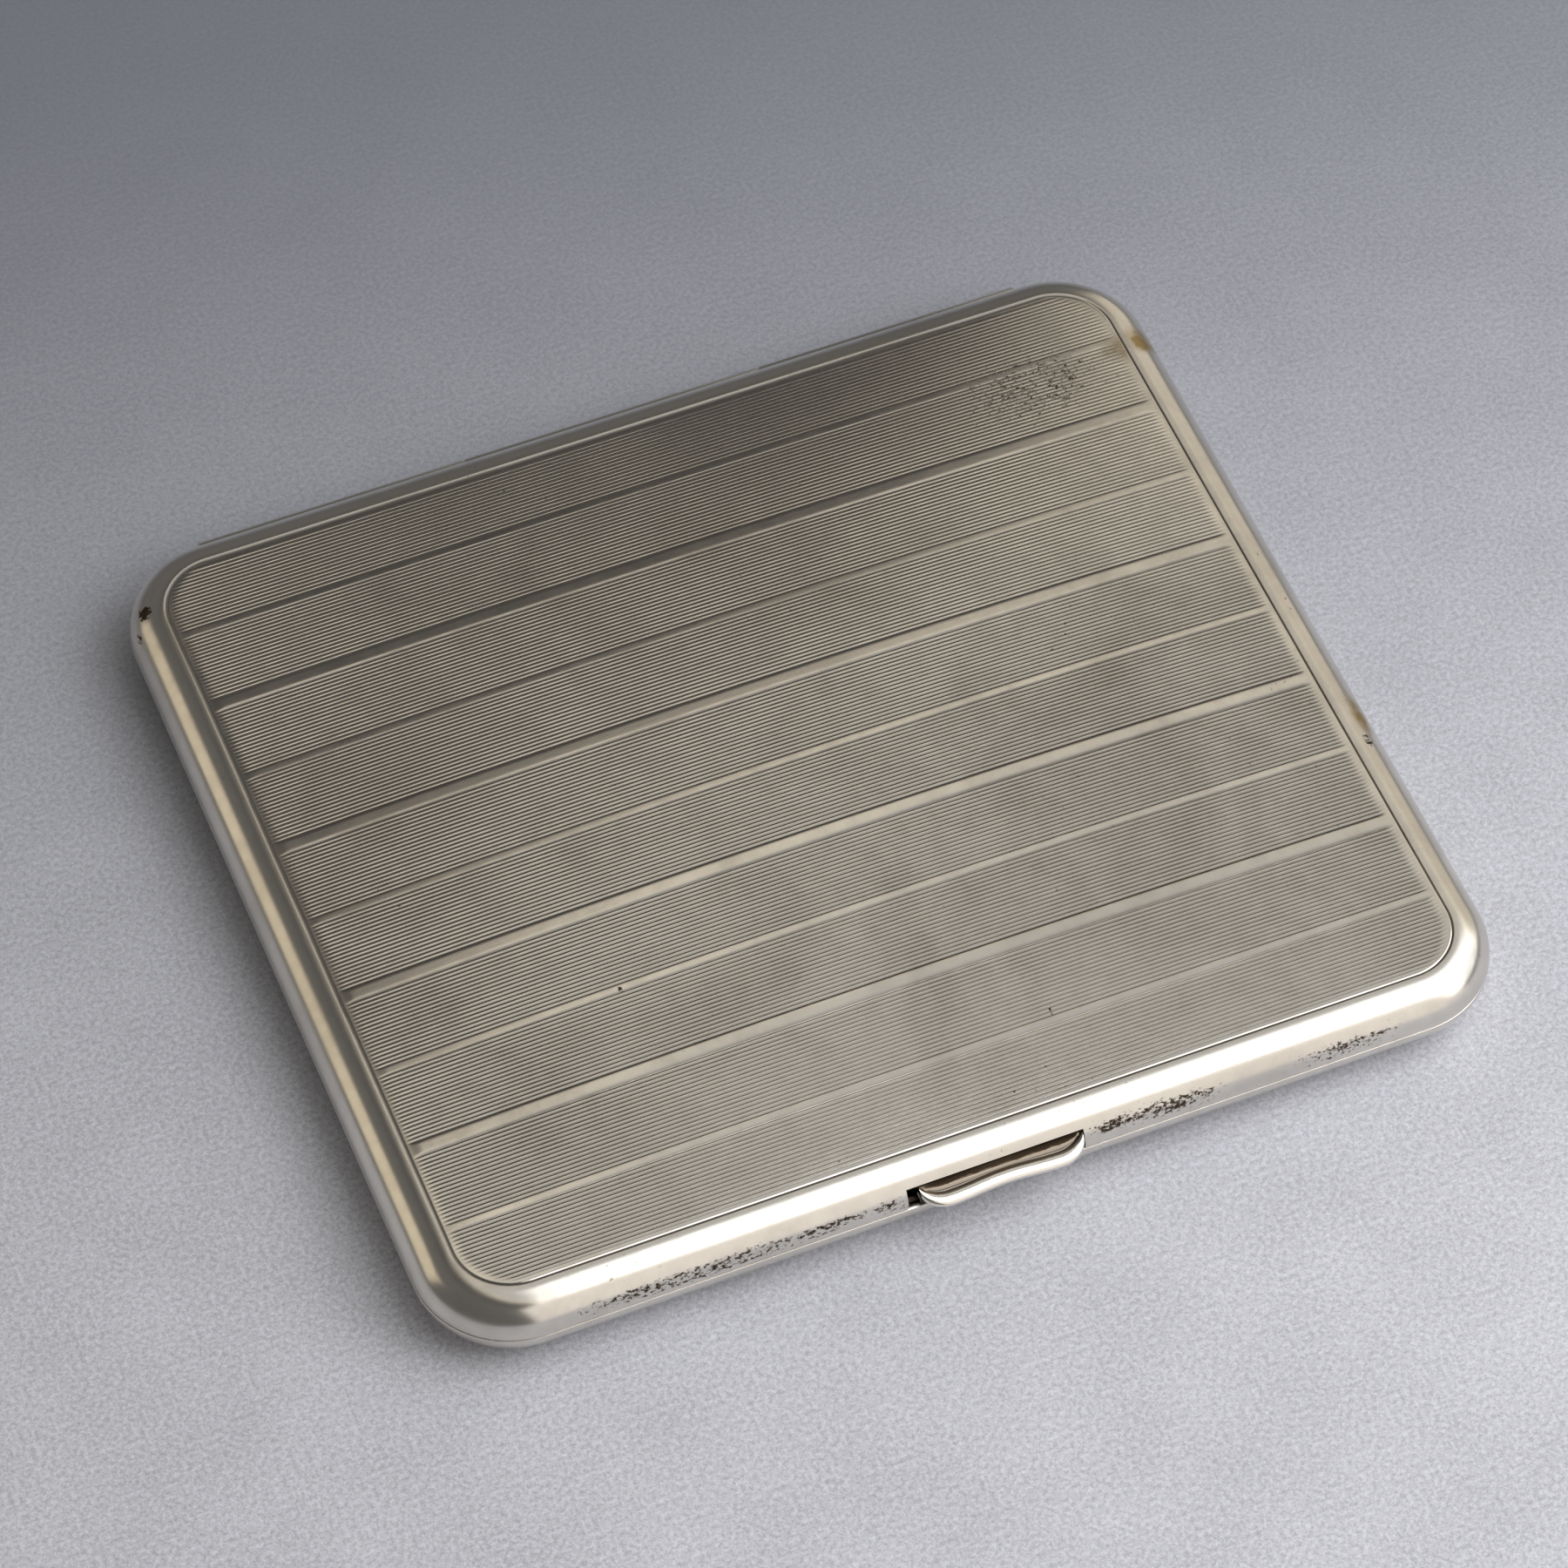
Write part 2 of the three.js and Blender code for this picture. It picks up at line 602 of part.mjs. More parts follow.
// Section of the thumb-piece as [reach beyond the outline, height above the lid's rim] points
function thumbSection(x) {
  const fromEnd = THUMB_LENGTH / 2 - Math.abs(x);
  const share = Math.min(1, fromEnd / THUMB_END_LENGTH);
  const fullness = Math.sqrt(1 - (1 - share) ** 2);
  const wave = (1 - Math.cos((2 * Math.PI * x) / THUMB_BULGE_SPACING)) / 2;
  const fullReach = THUMB_WAIST_REACH + (THUMB_LIP_REACH - THUMB_WAIST_REACH) * wave;
  const bottom = THUMB_BOTTOM_GAP;
  const highBead = BAR_TOP - THUMB_BEAD_RADIUS - THUMB_TOP_GAP;
  const lowBead = bottom + THUMB_BEAD_LIFT + THUMB_BEAD_RADIUS;
  const beadHeight = highBead + (lowBead - highBead) * fullness;
  const flushReach = -outerFaceInset(highBead, LID_EDGE_HEIGHT);
  const reach = flushReach + (fullReach - flushReach) * fullness;
  const top = new THREE.Vector2(-outerFaceInset(BAR_TOP, LID_EDGE_HEIGHT), BAR_TOP);
  const lip = new THREE.Vector2(reach - THUMB_BEAD_RADIUS, beadHeight + THUMB_BEAD_RADIUS);
  const hollow = new THREE.Vector2(Math.min(top.x, lip.x) - THUMB_BEAD_RADIUS / 2, lip.y);
  const section = new THREE.QuadraticBezierCurve(top, hollow, lip).getPoints(SCOOP_STEPS);
  for (let step = 1; step <= BEAD_STEPS; step += 1) {
    const angle = Math.PI / 2 - (step / BEAD_STEPS) * Math.PI;
    const outward = reach - THUMB_BEAD_RADIUS + THUMB_BEAD_RADIUS * Math.cos(angle);
    section.push(new THREE.Vector2(outward, beadHeight + THUMB_BEAD_RADIUS * Math.sin(angle)));
  }
  const back = SOLDER_GAP - BAR_FRONT_INSET;
  section.push(new THREE.Vector2(-SOLDER_GAP, bottom));
  section.push(new THREE.Vector2(back, bottom));
  section.push(new THREE.Vector2(back, BAR_TOP - THUMB_TOP_GAP));
  return section;
}

// Scooped thumb-piece, lofted along X, with blind holes for its rivets
function thumbPiece() {
  const points = [];
  let count = 0;
  for (let station = 0; station <= THUMB_SECTIONS; station += 1) {
    const x = (-THUMB_LENGTH / 2) * Math.cos((Math.PI * station) / THUMB_SECTIONS);
    const section = thumbSection(x);
    count = section.length;
    for (const { x: reach, y: height } of section) {
      points.push(new THREE.Vector3(THUMB_MIDDLE + x, -HALF_WIDTH - reach, LID_RIM_Z + height));
    }
  }
  const faces = [];
  for (let station = 0; station < THUMB_SECTIONS; station += 1) {
    for (let place = 0; place < count; place += 1) {
      const next = (place + 1) % count;
      const a = station * count + place;
      const b = station * count + next;
      faces.push(a, b, b + count, a, b + count, a + count);
    }
  }
  const last = THUMB_SECTIONS * count;
  const end = thumbSection(THUMB_LENGTH / 2);
  for (const [a, b, c] of THREE.ShapeUtils.triangulateShape(end, [])) {
    faces.push(a, b, c);
    faces.push(last + c, last + b, last + a);
  }
  return cut(fromPoints(points, faces), ...THUMB_RIVET_PLACES.map(thumbRivetHole));
}

// Rivet along Z from 0: shank, an optional lower head, and an upper head at the shank's end
function rivet(length, headRadius, lowerHead) {
  const profile = [new THREE.Vector2(0, lowerHead ? -RIVET_HEAD_HEIGHT : 0)];
  if (lowerHead) {
    profile.push(new THREE.Vector2(RIVET_HEAD_RADIUS, -RIVET_HEAD_HEIGHT));
    profile.push(new THREE.Vector2(RIVET_HEAD_RADIUS, 0));
  }
  profile.push(new THREE.Vector2(RIVET_RADIUS, 0));
  profile.push(new THREE.Vector2(RIVET_RADIUS, length));
  profile.push(new THREE.Vector2(headRadius, length));
  profile.push(new THREE.Vector2(headRadius, length + RIVET_HEAD_HEIGHT - RIVET_HEAD_BEVEL));
  profile.push(new THREE.Vector2(headRadius - RIVET_HEAD_BEVEL, length + RIVET_HEAD_HEIGHT));
  profile.push(new THREE.Vector2(0, length + RIVET_HEAD_HEIGHT));
  const geometry = new THREE.LatheGeometry(profile, RIVET_SIDES);
  geometry.rotateX(Math.PI / 2);
  return geometry;
}

function thumbRivet(x) {
  const tip = BAR_FRONT_INSET - SOLDER_GAP - THUMB_RIVET_BITE;
  const geometry = rivet(BAR_BACK_INSET + SOLDER_GAP - tip, RIVET_HEAD_RADIUS, false);
  geometry.rotateX(-Math.PI / 2);
  geometry.translate(x, -HALF_WIDTH + tip, THUMB_RIVET_Z);
  return geometry;
}

// Heights of the elastic band and its brackets
const SHELF_BOTTOM_Z = BASE_RIM_Z - BEZEL_DEPTH;
const SHELF_TOP_Z = SHELF_BOTTOM_Z + BRACKET_SHEET;
const BAND_BOTTOM_Z = SHELF_TOP_Z + BAND_GAP;
const BAND_TOP_Z = BAND_BOTTOM_Z + BAND_THICKNESS;
const BRACKET_OUTER_X = HALF_LENGTH - BEZEL_INNER_INSET - SOLDER_GAP;
const BAND_HALF = BRACKET_OUTER_X - BRACKET_SHEET - BAND_END_CLEARANCE;
const BAND_RIVET_X = BAND_HALF - BAND_RIVET_INSET;

// Hole along Z for a band rivet
function bandRivetHole(side) {
  const radius = RIVET_RADIUS + RIVET_CLEARANCE;
  const height = BAND_TOP_Z - SHELF_BOTTOM_Z + 2 * OVERCUT;
  const geometry = new THREE.CylinderGeometry(radius, radius, height, RIVET_SIDES);
  geometry.rotateX(Math.PI / 2);
  geometry.translate(side * BAND_RIVET_X, 0, (SHELF_BOTTOM_Z + BAND_TOP_Z) / 2);
  return geometry;
}

// Angle bracket against the bezel at one end of the band
function bandBracket(side) {
  const half = (BAND_WIDTH + BRACKET_EXTRA_WIDTH) / 2;
  const upright = BRACKET_OUTER_X - BRACKET_SHEET;
  const shelf = upright - BRACKET_SHELF;
  const top = BASE_RIM_Z + BRACKET_UPSTAND;
  const shape = new THREE.Shape([
    new THREE.Vector2(shelf, SHELF_BOTTOM_Z),
    new THREE.Vector2(BRACKET_OUTER_X, SHELF_BOTTOM_Z),
    new THREE.Vector2(BRACKET_OUTER_X, top),
    new THREE.Vector2(upright, top),
    new THREE.Vector2(upright, SHELF_TOP_Z),
    new THREE.Vector2(shelf, SHELF_TOP_Z),
  ]);
  const geometry = new THREE.ExtrudeGeometry(shape, { depth: 2 * half, bevelEnabled: false });
  geometry.rotateX(Math.PI / 2);
  geometry.translate(0, half, 0);
  if (side < 0) {
    geometry.rotateZ(Math.PI);
  }
  return cut(geometry, bandRivetHole(side));
}

function bandRivet(side) {
  const shelfSide = SHELF_BOTTOM_Z - BAND_GAP;
  const geometry = rivet(BAND_TOP_Z + BAND_GAP - shelfSide, BAND_RIVET_HEAD_RADIUS, true);
  geometry.translate(side * BAND_RIVET_X, 0, shelfSide);
  return geometry;
}

function elasticBand() {
  const half = BAND_WIDTH / 2;
  const band = box(-BAND_HALF, BAND_HALF, -half, half, BAND_BOTTOM_Z, BAND_TOP_Z);
  return cut(band, bandRivetHole(-1), bandRivetHole(1));
}

// Finishes, one material for each mesh
const NICKEL_SILVER = { color: 0xb4ac9d, roughness: 0.32, metalness: 1 };
const BRIGHT_SILVER = { color: 0xc4bdb0, roughness: 0.24, metalness: 1 };
const SPRING_STEEL = { color: 0x7d7c7a, roughness: 0.38, metalness: 1 };
const BRASS = { color: 0xb08f55, roughness: 0.36, metalness: 1 };
const WOVEN_ELASTIC = { color: 0x3d352c, roughness: 0.9, metalness: 0 };

function piece(name, geometry, finish) {
  const mesh = new THREE.Mesh(geometry, new THREE.MeshStandardMaterial(finish));
  mesh.name = name;
  return mesh;
}

const base = new THREE.Group();
base.add(piece('base_shell', baseShell(), NICKEL_SILVER));
base.add(piece('base_bezel', bezel(), BRIGHT_SILVER));
base.add(piece('hinge_pin', hingeBar(HINGE_PIN_RADIUS, -HINGE_HALF, HINGE_HALF), SPRING_STEEL));
base.add(piece('hinge_knuckle_base_left', hingeTube(...BASE_TUBE_STRETCHES[0]), NICKEL_SILVER));
base.add(piece('hinge_knuckle_base_right', hingeTube(...BASE_TUBE_STRETCHES[1]), NICKEL_SILVER));
base.add(piece('catch_keeper', catchKeeper(), BRIGHT_SILVER));
base.add(piece('elastic_band', elasticBand(), WOVEN_ELASTIC));
for (const [word, side] of [['left', -1], ['right', 1]]) {
  base.add(piece(`band_bracket_${word}`, bandBracket(side), BRIGHT_SILVER));
  base.add(piece(`band_rivet_${word}`, bandRivet(side), BRASS));
}

const slide = new THREE.Group();
slide.add(piece('thumb_piece', thumbPiece(), BRIGHT_SILVER));
slide.add(piece('slide_bar', slideBar(), BRIGHT_SILVER));
slide.add(piece('thumb_rivet_left', thumbRivet(THUMB_RIVET_PLACES[0]), BRASS));
slide.add(piece('thumb_rivet_right', thumbRivet(THUMB_RIVET_PLACES[1]), BRASS));

const lid = new THREE.Group();
lid.add(piece('lid_shell', lidShell(), NICKEL_SILVER));
lid.add(piece('hinge_knuckle_lid', hingeTube(...LID_TUBE_STRETCH), NICKEL_SILVER));
lid.add(piece('slide_guide_left', slideGuide(LEFT_GUIDE_MIDDLE), BRIGHT_SILVER));
lid.add(piece('slide_guide_right', slideGuide(RIGHT_GUIDE_MIDDLE), BRIGHT_SILVER));
lid.add(piece('spring_block', springBlock(), BRIGHT_SILVER));
lid.add(piece('return_spring', returnSpring(), SPRING_STEEL));
lid.add(slide);

// The frame's middle lies midway between the lip's and the hinge's outermost lines
const cigaretteCase = new THREE.Group();
cigaretteCase.add(base, lid);
cigaretteCase.position.y = (THUMB_LIP_REACH - HINGE_TUBE_RADIUS) / 2;

export default cigaretteCase;
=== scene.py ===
"""Looks of a slim silver cigarette case: reeded shells, a thumb slide, a hinge and an elastic band."""
import math

import bmesh
import bpy
import numpy as np
from bpy.props import FloatProperty, FloatVectorProperty, IntProperty, PointerProperty
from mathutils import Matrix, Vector


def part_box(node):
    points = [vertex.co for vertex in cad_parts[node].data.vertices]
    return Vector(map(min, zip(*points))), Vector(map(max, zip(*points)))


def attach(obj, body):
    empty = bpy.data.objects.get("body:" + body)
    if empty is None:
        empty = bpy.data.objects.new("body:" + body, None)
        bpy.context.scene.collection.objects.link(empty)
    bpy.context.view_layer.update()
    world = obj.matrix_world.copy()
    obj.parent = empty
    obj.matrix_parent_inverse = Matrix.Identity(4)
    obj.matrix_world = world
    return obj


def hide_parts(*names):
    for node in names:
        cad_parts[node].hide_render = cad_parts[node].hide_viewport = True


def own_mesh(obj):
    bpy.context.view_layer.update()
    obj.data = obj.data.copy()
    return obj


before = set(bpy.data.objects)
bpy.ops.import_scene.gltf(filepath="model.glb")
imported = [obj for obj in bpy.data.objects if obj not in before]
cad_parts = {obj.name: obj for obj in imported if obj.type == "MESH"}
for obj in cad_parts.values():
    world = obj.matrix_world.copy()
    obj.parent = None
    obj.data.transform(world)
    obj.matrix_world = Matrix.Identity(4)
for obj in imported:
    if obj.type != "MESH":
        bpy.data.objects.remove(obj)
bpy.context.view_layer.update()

bl_info = {
    "name": "Cigarette case",
    "version": (1, 0, 0),
    "blender": (4, 5, 0),
    "location": "3D View > Sidebar > Case",
    "description": "Dresses a slim reeded silver cigarette case around its solid frame",
    "category": "Object",
}

MM = 0.001
QUARTER = math.pi / 2
OVERCUT = 1 * MM

# Places taken from the frame
LID_TUBES = ["hinge_knuckle_lid"]
BASE_TUBES = ["hinge_knuckle_base_left", "hinge_knuckle_base_right"]
LID_LOW, LID_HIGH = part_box("lid_shell")
BASE_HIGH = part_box("base_shell")[1]
BEZEL_LOW, BEZEL_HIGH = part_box("base_bezel")
THUMB_LOW, THUMB_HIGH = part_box("thumb_piece")
SPRING_LOW, SPRING_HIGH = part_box("return_spring")
BAND_LOW, BAND_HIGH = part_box("elastic_band")
LID_TUBE_LOW, LID_TUBE_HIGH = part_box("hinge_knuckle_lid")
PIN_LOW, PIN_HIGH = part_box("hinge_pin")
MIDDLE_Y = (LID_LOW.y + LID_HIGH.y) / 2
FRONT_Y = LID_LOW.y
HINGE_LINE = (0, (LID_TUBE_LOW.y + LID_TUBE_HIGH.y) / 2, (LID_TUBE_LOW.z + LID_TUBE_HIGH.z) / 2)
TUBE_RADIUS = (LID_TUBE_HIGH.z - LID_TUBE_LOW.z) / 2


def length_of(label, words, default):
    """A length property in metres."""
    return FloatProperty(name=label, description=words, default=default, unit="LENGTH", precision=5)


def angle_of(label, words, degrees):
    """An angle property, from degrees."""
    return FloatProperty(name=label, description=words, default=math.radians(degrees), subtype="ANGLE")


def colour_of(label, words, default):
    """A colour property."""
    return FloatVectorProperty(
        name=label, description=words, default=default, subtype="COLOR", size=3, min=0, max=1
    )


class ShellSizes(bpy.types.PropertyGroup):
    """Sizes of the two pressed shells."""

    length: length_of("Length", "Length along the hinge", LID_HIGH.x - LID_LOW.x)
    width: length_of("Width", "Width from front to hinge", LID_HIGH.y - LID_LOW.y)
    corner_radius: length_of("Corner radius", "Radius of the corners in plan", 8.5 * MM)
    sheet: length_of("Sheet", "Thickness of the metal", 0.5 * MM)
    edge_width: length_of("Edge width", "Width of the half-round edge in plan", 3.25 * MM)
    edge_height: length_of("Edge height", "Height of the half-round edge on each shell", 3.3 * MM)
    rim_round: length_of("Rim round", "Rounding of the rims at the seam", 0.13 * MM)
    lid_crown: length_of("Lid crown", "Rise of the lid's face above its border", 1.1 * MM)
    base_crown: length_of("Base crown", "Full rise of the base's face before it is flattened", 1.3 * MM)
    base_flat: length_of("Base flat", "Depth at which the base's face is flattened", 0.9 * MM)
    border_width: length_of("Border width", "Width of the border line", 0.24 * MM)
    border_depth: length_of("Border depth", "Depth of the border line", 0.052 * MM)
    notch_gap: length_of("Notch gap", "Gap beside the thumb-piece at the end it rests against", 0.1 * MM)
    thumb_travel: length_of("Thumb travel", "Way that the thumb-piece slides", 1.0 * MM)
    tube_seat: length_of("Tube seat", "Gap round a hinge tube in its own shell", 0.05 * MM)
    tube_room: length_of("Tube room", "Gap round a hinge tube in the other shell", 0.2 * MM)
    tube_end_gap: length_of("Tube end gap", "Largest gap at the ends of a hinge tube", 0.12 * MM)


class ReedSizes(bpy.types.PropertyGroup):
    """Sizes of the engine-turned reeds on the faces."""

    spacing: length_of("Spacing", "Distance between the plain stripes", 8.18 * MM)
    wide: length_of("Wide stripe", "Width of the wide plain stripes", 1.5 * MM)
    narrow: length_of("Narrow stripe", "Width of the narrow plain stripes", 0.85 * MM)
    count: IntProperty(name="Reeds", description="Fine reeds between two stripes", default=18)
    back_rise: length_of("Back rise", "Height of a fine reed at the back", 0.0125 * MM)
    front_rise: length_of("Front rise", "Height of a fine reed at the front", 0.0195 * MM)
    stripe_rise: length_of("Stripe rise", "Height of a plain stripe", 0.03 * MM)
    margin: length_of("Margin", "Plain margin along the front and the back", 0.12 * MM)
    end_margin: length_of("End margin", "Plain margin at the ends of the reeds", 0.12 * MM)
    end_fade: length_of("End fade", "Length over which the reeds run out", 1.15 * MM)
    corner_wear: FloatProperty(
        name="Corner wear", description="Share of the height that is rubbed off at one corner", default=0.72
    )


class ThumbSizes(bpy.types.PropertyGroup):
    """Sizes of the scooped thumb-piece."""

    lip_reach: length_of("Lip reach", "How far the lip stands out at its two bulges", 1.33 * MM)
    waist_reach: length_of("Waist reach", "How far the lip stands out in the middle", 1.05 * MM)
    bulge_spacing: length_of("Bulge spacing", "Distance between the bulges", 9.8 * MM)
    end_length: length_of("End length", "Length over which the lip climbs at each end", 2.3 * MM)
    bead: length_of("Bead", "Half height of the rolled lip", 0.5 * MM)
    bead_depth: length_of("Bead depth", "Half depth of the rolled lip", 0.78 * MM)


class CaseFinishes(bpy.types.PropertyGroup):
    """Colours of the metals, the band and the table."""

    silver: colour_of("Silver", "Worn silver of the shells", (0.78, 0.745, 0.685))
    tarnish: colour_of("Tarnish", "Brown tarnish on worn silver", (0.16, 0.125, 0.09))
    soot: colour_of("Dark tarnish", "Nearly black tarnish in hollows", (0.062, 0.043, 0.029))
    stain: colour_of("Stain", "Ochre stain near a corner", (0.36, 0.26, 0.12))
    inside: colour_of("Inside", "Cleaner silver inside the case", (0.80, 0.76, 0.69))
    steel: colour_of("Steel", "Drawn steel of the pin and the spring", (0.42, 0.42, 0.41))
    brass: colour_of("Brass", "Brass of the rivets", (0.68, 0.50, 0.24))
    elastic: colour_of("Elastic", "Threads of the elastic band", (0.060, 0.047, 0.036))
    floor: colour_of("Floor", "Pale table top", (0.83, 0.85, 0.94))


class StageSizes(bpy.types.PropertyGroup):
    """Place of the camera."""

    azimuth: angle_of("Azimuth", "Side the camera stands on", -22.25)
    elevation: angle_of("Elevation", "Height of the camera", 53.8)
    view_angle: angle_of("View angle", "Width of the view", 13.5)
    distance: length_of("Distance", "From the camera to the point it looks at", 563.7 * MM)


# Mesh tools


def mesh_object(name, points, faces, sharp, *materials):
    """A mesh object with smooth faces, creased where edges are sharper than an angle in degrees."""
    mesh = bpy.data.meshes.new(name)
    mesh.from_pydata([tuple(p) for p in points], [], [tuple(f) for f in faces])
    work = bmesh.new()
    work.from_mesh(mesh)
    bmesh.ops.recalc_face_normals(work, faces=work.faces)
    work.to_mesh(mesh)
    work.free()
    for material in materials:
        mesh.materials.append(material)
    obj = bpy.data.objects.new(name, mesh)
    bpy.context.scene.collection.objects.link(obj)
    crease(obj, sharp)
    return obj


def crease(obj, sharp):
    """Smooth shading with creases where edges are sharper than an angle in degrees."""
    obj.data.shade_smooth()
    obj.data.set_sharp_from_angle(angle=math.radians(sharp))


def note_values(obj, name, values):
    """Keeps one number for each point of a mesh, for its material."""
    attribute = obj.data.attributes.new(name, "FLOAT", "POINT")
    attribute.data.foreach_set("value", np.asarray(values, np.float32))


def ring_faces(rings, count, closed=True):
    """Quads between successive rings of points."""
    faces = []
    for ring in range(rings - 1):
        low, high = ring * count, (ring + 1) * count
        for place in range(count if closed else count - 1):
            following = (place + 1) % count
            faces.append((low + place, low + following, high + following, high + place))
    return faces


def capped_faces(rings, count):
    """Quads between successive rings of points, with a face over each end."""
    last = (rings - 1) * count
    return ring_faces(rings, count) + [range(count), range(last + count - 1, last - 1, -1)]


def cut_away(obj, cutters, sharp):
    """Cuts other objects out of obj and removes them."""
    for cutter in cutters:
        modifier = obj.modifiers.new("cut", "BOOLEAN")
        modifier.operation = "DIFFERENCE"
        modifier.solver = "EXACT"
        modifier.object = cutter
    bpy.context.view_layer.update()
    graph = bpy.context.evaluated_depsgraph_get()
    made = bpy.data.meshes.new_from_object(obj.evaluated_get(graph))
    obj.modifiers.clear()
    old = obj.data
    obj.data = made
    bpy.data.meshes.remove(old)
    for cutter in cutters:
        shape = cutter.data
        bpy.data.objects.remove(cutter)
        bpy.data.meshes.remove(shape)
    if not made.polygons:
        raise RuntimeError(f"{obj.name}: nothing was left after the cut")
    crease(obj, sharp)


def box_cutter(low, high):
    """A box to cut with."""
    corners = [(x, y, z) for x in (low[0], high[0]) for y in (low[1], high[1]) for z in (low[2], high[2])]
    faces = [(0, 1, 3, 2), (4, 6, 7, 5), (0, 4, 5, 1), (2, 3, 7, 6), (0, 2, 6, 4), (1, 5, 7, 3)]
    return mesh_object("cutter", corners, faces, 30)


def rings_along(profile, sides):
    """Points of circles about the X axis, from (along, radius) pairs."""
    points = []
    for along, radius in profile:
        for side in range(sides):
            angle = 2 * math.pi * side / sides
            points.append((along, radius * math.cos(angle), radius * math.sin(angle)))
    return points


def turned(name, profile, axis, place, sides, sharp, *materials):
    """A turned piece from (along, radius) points that start and end on the axis."""
    points = [(profile[0][0], 0.0, 0.0), (profile[-1][0], 0.0, 0.0)] + rings_along(profile[1:-1], sides)
    faces = [tuple(2 + index for index in face) for face in ring_faces(len(profile) - 2, sides)]
    last = 2 + (len(profile) - 3) * sides
    for side in range(sides):
        following = (side + 1) % sides
        faces.append((0, 2 + following, 2 + side))
        faces.append((1, last + side, last + following))
    order = {"X": [0, 1, 2], "Y": [1, 0, 2], "Z": [1, 2, 0]}[axis]
    return mesh_object(name, np.array(points)[:, order] + np.array(place), faces, sharp, *materials)


def tube(name, start, end, bore, bevel, material):
    """A hinge tube with softened ends."""
    sides = 56
    radius = TUBE_RADIUS
    profile = [
        (start + bevel, bore), (start, bore + bevel), (start, radius - bevel), (start + bevel, radius),
        (end - bevel, radius), (end, radius - bevel), (end, bore + bevel), (end - bevel, bore),
    ]
    points = np.array(rings_along(profile, sides)) + np.array(HINGE_LINE)
    faces = [tuple(index % len(points) for index in face) for face in ring_faces(len(profile) + 1, sides)]
    return mesh_object(name, points, faces, 50, material)


def rounded_plan(half_x, half_y, radius, corner_steps, side_steps):
    """Plan of a rounded rectangle, anticlockwise."""
    flat_x, flat_y = half_x - radius, half_y - radius
    middles = [(flat_x, flat_y), (-flat_x, flat_y), (-flat_x, -flat_y), (flat_x, -flat_y)]
    points = []
    for place, middle in enumerate(middles):
        for step in range(corner_steps + 1):
            angle = (place + step / corner_steps) * QUARTER
            points.append((middle[0] + radius * math.cos(angle), middle[1] + radius * math.sin(angle)))
        start = np.array(points[-1])
        run = np.subtract(middles[(place + 1) % 4], middle)
        points += [tuple(start + run * step / side_steps) for step in range(1, side_steps)]
    return np.array(points)


# Shells


